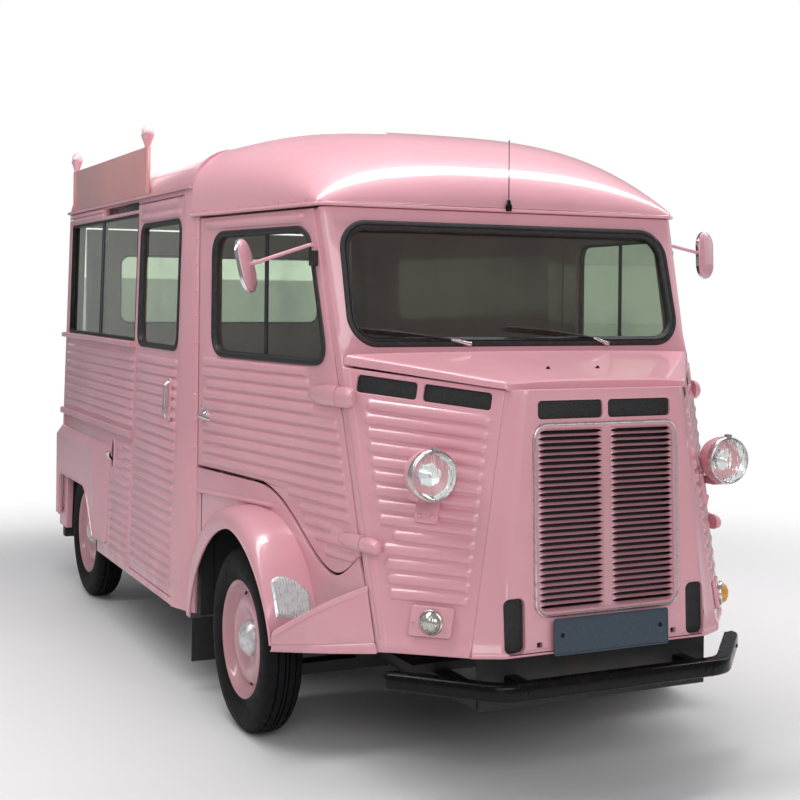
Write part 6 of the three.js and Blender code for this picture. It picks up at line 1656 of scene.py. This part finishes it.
# ---- Door mirrors: a painted shell with a plated bezel on a bent rod, clamped to the door's front edge.
MIRRORS = [  # [side, clamp's height, mirror's height, degrees turned, degrees leant]
    ("left", 1.772, 1.781, 25, 2),
    ("right", 1.739, 1.692, -50, 13),
]
CLAMP = rounded(-0.011, -0.027, 0.011, 0.027, 0.004, 3)
MIRROR_HEAD = rounded(-0.062, -0.096, 0.062, 0.096, 0.058, 8)
for side, clamp_z, tip_z, swivel, lean in MIRRORS:
    seat = on_cab(door_front(clamp_z) + 0.022, clamp_z, 0.001)
    clamp_line = [seat + cab_back * x + Vector((0, 0, z)) for x, z in CLAMP]
    clamp = drawn([[p + cab_out * up for p in clamp_line] for up in (-0.004, 0.021, 0.024)])
    foot = seat + cab_out * 0.012
    bend = foot + Vector((0, 0, 0.051))
    tip = Vector((1.043, 0.770, tip_z))
    reach = (tip - bend).normalized()
    path = [foot, bend - Vector((0, 0, 0.016)), bend - Vector((0, 0, 0.006)) + reach * 0.003]
    path += [bend + reach * 0.010, bend + reach * 0.020]
    path += [bend.lerp(tip, share) for share in (0.3, 0.6, 0.775, 0.79)]
    rod = tube(path, [0.007] * 8 + [0.005])
    at = bend.lerp(tip, 0.8) + Vector((0, 0.002, 0))
    aim = Matrix.Rotation(math.radians(swivel), 4, "Z") @ Matrix.Rotation(math.radians(-lean), 4, "X")

    def head(levels):
        """A skin of the mirror's outline, by how far back it lies and its share of the outline."""
        return drawn([
            [at + aim @ Vector((x * share, back, z * share)) for x, z in MIRROR_HEAD] for back, share in levels
        ])

    shell = head([(-0.010, 0.15), (-0.0095, 0.45), (-0.006, 0.75), (-0.001, 0.93), (0.005, 0.985), (0.012, 0.985)])
    bezel = head([(0.004, 0.99), (0.0045, 1.0), (0.014, 1.0), (0.017, 0.985), (0.0165, 0.955), (0.014, 0.945)])
    for name, mesh, paint, stands_for in (
        ("mirror_clamp", clamp, RUBBER, ()),
        ("mirror_rod", rod, PINK, ()),
        ("mirror_shell", shell, PINK, ()),
        ("mirror_bezel", bezel, CHROME, [f"mirror_{side}"]),
    ):
        if side == "right":
            on_right(mesh)
        body = f"cab_door_{side}"
        piece(f"{name}_{side}", mesh, paint, body, stands_for, slot="mirror_chrome", crease=50)

# ---- Wipers: two thin black arms, each on a plated stub and spindle at the screen's foot, parked to the
# right.
WIPERS = [
    [(-0.225, 0.546, 1.438), (-0.302, 0.551, 1.456), (-0.449, 0.556, 1.476), (-0.650, 0.562, 1.496)],
    [(0.361, 0.546, 1.436), (0.299, 0.552, 1.460), (0.100, 0.556, 1.488), (-0.066, 0.563, 1.501)],
]
SPINDLE = [(0, 0), (0, 0.013), (0.012, 0.011), (0.018, 0.005), (0.018, 0)]
BLADE = [(-0.010, 0.010, -0.004), (0.120, 0.006, -0.010), (0.270, 0.008, -0.030)]
arms = []
blades = []
for line in WIPERS:
    points = [Vector(p) - Vector((0, 0.012, 0)) for p in line]
    arms.append(tube(points[:2], [0.009, 0.005]))
    arms.append(turned(SPINDLE, points[0] + Vector((0, 0.016, 0)), (0, -1, 0.3), 20))
    blades.append(tube(points[1:], [0.0045, 0.0035, 0.003], 8))
    blades.append(tube([points[-1] + Vector(p) for p in BLADE], [0.003, 0.005, 0.003], 8))
piece("wiper_arms", joined(*arms), STEEL, crease=50)
piece("wiper_blades", joined(*blades), RUBBER, crease=50)

# ---- Sign: a folded board along the right eaves, left bare, with a turned ornament like an ice-cream
# cone at each end. The cones are pink and carry a paler swirl.
SIGN = (2.380, 2.0606, 3.940, 2.280)
SIGN_X = side_x(EAVES) + 0.015


def on_sign(u, v, out):
    return Vector((SIGN_X + out, u, v))


board = pressed([rounded(*SIGN, 0.004, 2)], on_sign, radius=0.003, depth=0.014)
edges = []
for y in (2.381, 3.923):
    edges.append(block((SIGN_X - 0.010, y, SIGN[1]), (SIGN_X + 0.006, y + 0.016, SIGN[3] - 0.001), 0.003))
SIGN_PINK = enamel("sign_enamel", (0.62, 0.285, 0.27, 1), (0.57, 0.26, 0.25, 1), "sign_pink")
piece("sign_sheet", on_right(joined(board, *edges)), SIGN_PINK, stands_for=["sign_board"])
CREAM = Paint("swirl_cream", {"Base Color": (0.80, 0.62, 0.65, 1), "Roughness": 0.3, "Coat Weight": 0.5}, "sign_pink")
streaks = CREAM.noise(60.0, 2.0).ramp(0.3, 0.7)
CREAM.set({"Base Color": CREAM.mix(streaks, (0.84, 0.68, 0.70, 1), (0.72, 0.48, 0.52, 1))})
CONE = [(-0.020, 0), (-0.016, 0.010), (0.010, 0.015), (0.046, 0.028), (0.056, 0.030), (0.058, 0)]
SWIRL = [
    (0.052, 0), (0.054, 0.022), (0.062, 0.0285), (0.072, 0.028), (0.082, 0.023), (0.092, 0.018),
    (0.100, 0.010), (0.106, 0.004), (0.107, 0),
]


def twist(mesh):
    """Three soft lobes that wind up the swirl."""
    for vert in mesh.verts:
        round_at = math.atan2(vert.co.y, vert.co.x)
        vert.co.xy *= 1 + 0.10 * math.cos(3 * round_at + vert.co.z * 90)


cones = []
swirls = []
for y in (SIGN[0] + 0.030, SIGN[2] - 0.030):
    foot = Vector((SIGN_X - 0.007, y, SIGN[3]))
    cones.append(turned(CONE, foot, (0, 0, 1), 24))
    swirls.append(turned(SWIRL, foot, (0, 0, 1), 36, False, twist))
piece("sign_cones", on_right(joined(*cones)), PINK, slot="sign_pink")
piece("sign_swirls", on_right(joined(*swirls)), CREAM, crease=50)

# ---- Side fittings: a chrome pull in a dished plate on the sliding door, its oval latch recess on the side
# behind, drawn as painted shade in a black oval, screws over its window, and the slot over the serving window,
# its depth painted as shade on a black plate.
slide_screws = [on_side(y, 2.014, 0) for y in (1.874, 2.508)]
piece("slide_screws", on_right(studs(slide_screws, (1, 0, 0), 0.006, 0.004)), STEEL, slot="body_pink")
low_y, low_z, high_y, high_z = SLOT_HOLE
slot_box = (low_y - 0.004, low_z - 0.004, high_y + 0.004, high_z + 0.004)
# A black plate set inside the slot: painted shade for the slot's depth.
channel = slip(slot_box, 0.004, 2, on_side, -0.022, 0.002, 0.006)
piece("slot_channel_shade", on_right(channel), BLACK, slot="chassis_black")
PULL = [(1.080, -0.002), (1.082, 0.020), (1.096, 0.030), (1.214, 0.030), (1.228, 0.020), (1.230, -0.002)]
pull = tube([on_side(1.930, z, out) for z, out in PULL], [0.007] * 6, 10)
pull_corners = [(1.905, 1.060), (1.955, 1.060), (1.955, 1.250), (1.905, 1.250)]
pull_loop = soft_corners(pull_corners, 0.022, 5)
pull_plate = pressed([pull_loop], raised(on_side, 0.012), radius=0.003, depth=0.010)
piece("slide_pull", on_right(pull), CHROME, crease=50)
piece("slide_pull_plate", on_right(pull_plate), PINK)
LATCH = (2.910, 0.822)
oval = [(0.030 * math.cos(a), 0.078 * math.sin(a)) for a in around(32)]
oval_line = [(LATCH[0] + y, LATCH[1] + z) for y, z in oval]
OVAL_SECTION = [(-0.004, -0.002), (-0.003, 0.004), (0, 0.006), (0.004, 0.005), (0.008, -0.001)]
piece("latch_ring", on_right(moulding(oval_line, OVAL_SECTION, on_side)), PINK, crease=50)
# A flat black oval inside the ring, standing just proud of the side: painted shade for the latch's recess.
shade_line = [(LATCH[0] + y * 0.88, LATCH[1] + z * 0.95) for y, z in oval]
oval_shade = pressed([shade_line], raised(on_side, 0.002), radius=0.0015, depth=0.004)
piece("latch_recess_shade", on_right(oval_shade), BLACK, slot="chassis_black")
LATCH_LEVER = [(2.915, 0.790, 0.004), (2.915, 0.806, 0.020), (2.905, 0.826, 0.026), (2.890, 0.834, 0.024)]
latch = tube([on_side(*at) for at in LATCH_LEVER], [0.008, 0.011, 0.012, 0.006], 10)
piece("latch_handle", on_right(latch), CHROME, crease=50)

# ---- Rear: two beaded half doors on outside hinges under a beaded tailgate hung from the roof, with a
# window in rubber, a locking bar handle, small round lamps and a hook of the bumper round each corner.
def on_rear(u, v, out):
    return Vector((-u, REAR + out, v))


REAR_HALF = side_x(EAVES) - REAR_POST - SHUT
LEAF = (-REAR_HALF, 0.396, -0.0035, 1.1765)
leaf_rows = rows_between(LEAF[1], LEAF[3], lambda z: (LEAF[0] + 0.035, LEAF[2] - 0.035))
leaf = pressed([rounded(*LEAF, 0.006, 3)], on_rear, leaf_rows, radius=0.004, depth=0.032)
pair("rear_door_sheet", leaf, PINK, "rear_door_{}", ["rear_door_{}"])
GATE = (-REAR_HALF, 1.1835, REAR_HALF, 1.968)
REAR_WINDOW = (-0.618, 1.430, 0.618, 1.830)
gate_rows = rows_between(GATE[1], REAR_WINDOW[1] - 0.012, lambda z: (GATE[0] + 0.035, GATE[2] - 0.035))
gate_rows += [(1.862 + BEAD_PITCH * k, GATE[0] + 0.06, GATE[2] - 0.06) for k in range(2)]
rear_hole = rounded(*REAR_WINDOW, 0.060, 8)[::-1]
gate = pressed([rounded(*GATE, 0.006, 3), rear_hole], on_rear, gate_rows, radius=0.004, depth=0.032)
piece("tailgate_sheet", gate, PINK, "tailgate", ["tailgate"])
gate_rubber = moulding(rounded(*REAR_WINDOW, 0.060, 10), seal_section(0.026, 0.008, 0.013), on_rear)
piece("tailgate_rubber", gate_rubber, RUBBER, "tailgate", crease=50)
leaf_hinges = bmesh.new()
for z in (0.520, 1.060):
    at = Vector((REAR_HALF + 0.004, REAR + 0.006, z))
    rings = []
    for up in (-0.035, 0.035):
        rings.append([at + Vector((0.009 * math.cos(a), 0.009 * math.sin(a), up)) for a in around(14)])
    drawn(rings, into=leaf_hinges)
pair("rear_door_hinges", leaf_hinges, PINK, "rear_door_{}")
BOSS = [(0, 0), (0, 0.020), (0.006, 0.019), (0.014, 0.012), (0.014, 0)]
handle = joined(
    block((-0.060, REAR + 0.012, 1.214), (0.060, REAR + 0.028, 1.238), 0.006, 3),
    turned(BOSS, Vector((0, REAR + 0.001, 1.226)), BACKWARDS, 24),
)
piece("tailgate_handle", handle, CHROME, "tailgate", crease=40)
RED = Paint("red_lens", {"Base Color": (0.42, 0.012, 0.012, 1), "Roughness": 0.12, "Coat Weight": 0.6}, "lamp_pink")
RED.grain(110.0, 1.0, 0.003, 0.5)
TAIL_LAMP = [(0, 0), (0, 0.028), (0.010, 0.028), (0.017, 0.020), (0.020, 0)]
tail_at = Vector((side_x(0.66) - 0.046, REAR - 0.001, 0.660))
pair("tail_lamp", turned(TAIL_LAMP, tail_at, BACKWARDS, 28), RED)
HOOK = [
    (0.700, 4.128, 0.360), (0.830, 4.126, 0.362), (0.905, 4.098, 0.366), (0.930, 4.040, 0.380),
    (0.934, 3.985, 0.420),
]
hook = tube([Vector(p) for p in HOOK], [0.020, 0.020, 0.019, 0.017, 0.010], 14)
pair("rear_bumper_hook", hook, BLACK, slot="chassis_black", crease=50)

# ---- Glass: clear panes with a faint green tint and soft patches of dust.
GLASS = Paint("pane_glass", {
    "Base Color": (0.62, 0.68, 0.62, 1), "Roughness": 0.02, "Transmission Weight": 1.0, "IOR": 1.45,
})
GLASS.worn((3.0, 4.0, 0.45, 0.8), (0.50, 0.56, 0.47, 1), (0.40, 0.46, 0.40, 1), (0.01, 0.03))
GREY = Paint("engine_paint", {"Base Color": (0.14, 0.15, 0.15, 1), "Roughness": 0.5, "Metallic": 0.4})
GREY.set({"Roughness": 0.4 + GREY.noise(30.0, 4.0) * 0.3})
PANES = (
    "windscreen", "cab_door_window_left", "cab_door_window_right", "sliding_door_window", "serving_window",
    "tailgate_window",
)
UNDERSIDE = (
    "platform", "cab_floor", "front_valance", "front_housing_left", "front_housing_right",
    "rear_housing_left", "rear_housing_right", "knuckle_left", "knuckle_right", "rear_axle",
)
for paint, names in (
    (GLASS, PANES),
    (IRON, UNDERSIDE),
    (GREY, ("engine_block",)),
):
    for name in names:
        bpy.data.objects[name].material_slots[0].material = paint.material

# ---- Serving counter: a folded stainless worktop on a painted cabinet with three doors.
BRUSHED = Paint("brushed_steel", {
    "Base Color": (0.55, 0.56, 0.57, 1), "Metallic": 1.0, "Roughness": 0.3,
}, "counter_steel")
BRUSHED.set({"Roughness": 0.24 + BRUSHED.noise(60.0, 3.0, (1, 0.04, 1)) * 0.2})
BRUSHED.grain(240.0, 2.0, 0.0004, 0.4, (1, 0.02, 1))
counter_x = side_x(SERVING_FOOT) - 0.038
top = block((counter_x - 0.420, 2.600, 1.194), (counter_x, 3.986, 1.224), 0.006, 3)
piece("counter_top", on_right(top), BRUSHED, stands_for=["serving_counter"])
cabinet = [
    block((counter_x - 0.400, 2.630, 0.770), (counter_x - 0.020, 3.956, 1.193), 0.004),
    block((counter_x - 0.400, 2.630, 0.380), (counter_x - 0.020, 3.140, 0.771), 0.004),
]
for y in (2.640, 3.080, 3.520):
    cabinet.append(block((counter_x - 0.412, y, 0.790), (counter_x - 0.399, y + 0.426, 1.170), 0.004))
piece("counter_cabinet", on_right(joined(*cabinet)), PINK, slot="counter_steel")

# ---- Cab fittings: a rounded dashboard, a steering wheel with a thin rim and two spokes, and two seats
# of foam under stitched leathercloth on steel frames.
VINYL = Paint("seat_cloth", {"Base Color": (0.075, 0.028, 0.030, 1), "Roughness": 0.45}, "seat_leather")
VINYL.set({"Roughness": 0.38 + VINYL.noise(8.0, 3.0) * 0.2})
VINYL.grain(330.0, 3.0, 0.0005, 0.6)
dash = block((-0.600, 0.560, 1.270), (0.600, 0.660, 1.372), 0.020, 4)
piece("dashboard", dash, BLACK, slot="control_black", crease=60)
WHEEL_AIM = Matrix.Translation((0.430, 0.900, 1.330)) @ Matrix.Rotation(math.radians(32), 4, "X")
section = [(0.011 * math.sin(a), 0.205 + 0.012 * math.cos(a)) for a in around(12)]
ring = turned(section, (0, 0, 0), (0, 0, 1), 64, True)
spoke_line = [Vector((x, 0, -0.012 * (1 - abs(x) / 0.2))) for x in (-0.2, -0.1, 0, 0.1, 0.2)]
spokes = tube(spoke_line, [0.007, 0.008, 0.012, 0.008, 0.007], 10)
COLUMN = [(-0.40, 0), (-0.40, 0.019), (-0.03, 0.019), (-0.026, 0.035), (-0.004, 0.034), (0.002, 0.020), (0.002, 0)]
boss = turned(COLUMN, (0, 0, 0), (0, 0, 1), 28)
wheel = joined(ring, spokes, boss)
bmesh.ops.transform(wheel, matrix=WHEEL_AIM, verts=wheel.verts)
piece("steering_rim", wheel, BLACK, stands_for=["steering_wheel"], slot="control_black", crease=50)

rails = [block((x, 1.210, 0.777), (x + 0.025, 1.560, 0.870), 0.004) for x in (0.300, 0.650)]
posts = [block((x, 1.560, 0.870), (x + 0.025, 1.600, 1.250), 0.004) for x in (0.320, 0.630)]
seat_frame = joined(*rails, block((0.290, 1.200, 0.862), (0.685, 1.560, 0.880), 0.004), *posts)
pair("seat_frame", seat_frame, BLACK, stands_for=["seat_{}"], slot="seat_leather")

CUSHION_VOXEL = 0.006
CUSHION_PRESSURE = 4.0
CUSHION_FRAMES = 20
CUSHION_SWELL = 0.012


def cushion(name, low, high, turn=None):
    """A foam pad in its cover, blown up as cloth so that its faces crown and its seams draw in. No point
    moves more than the swell, and the right seat's is the left one turned over."""
    pad = block(low, high, 0.020, 4)
    if turn:
        bmesh.ops.rotate(pad, cent=turn[0], matrix=Matrix.Rotation(turn[1], 3, "X"), verts=pad.verts)
    made = piece(f"{name}_left", pad, VINYL, crease=80)
    remesh = made.modifiers.new("weave", "REMESH")
    remesh.mode = "VOXEL"
    remesh.voxel_size = CUSHION_VOXEL
    with bpy.context.temp_override(object=made, active_object=made, selected_objects=[made]):
        bpy.ops.object.modifier_apply(modifier="weave")
        before = [vert.co.copy() for vert in made.data.vertices]
        cloth = made.modifiers.new("cloth", "CLOTH")
        cloth.settings.use_pressure = True
        cloth.settings.uniform_pressure_force = CUSHION_PRESSURE
        cloth.settings.effector_weights.gravity = 0
        for frame_at in range(1, CUSHION_FRAMES + 1):
            bpy.context.scene.frame_set(frame_at)
        bpy.ops.object.modifier_apply(modifier="cloth")
        for vert, at in zip(made.data.vertices, before):
            step = vert.co - at
            if step.length > CUSHION_SWELL:
                vert.co = at + step.normalized() * CUSHION_SWELL
        cover = made.modifiers.new("cover", "SUBSURF")
        cover.levels = cover.render_levels = 1
        bpy.ops.object.modifier_apply(modifier="cover")
    bpy.context.scene.frame_set(1)
    made.data.shade_smooth()
    other = bmesh.new()
    other.from_mesh(made.data)
    bmesh.ops.translate(other, vec=(0, CENTRE, 0), verts=other.verts)
    piece(f"{name}_right", on_right(other), VINYL, crease=80)


cushion("seat_cushion", (0.296, 1.206, 0.886), (0.680, 1.556, 0.962))
cushion("seat_back", (0.300, 1.512, 0.975), (0.676, 1.560, 1.315), (Vector((0.5, 1.54, 0.975)), math.radians(-9)))
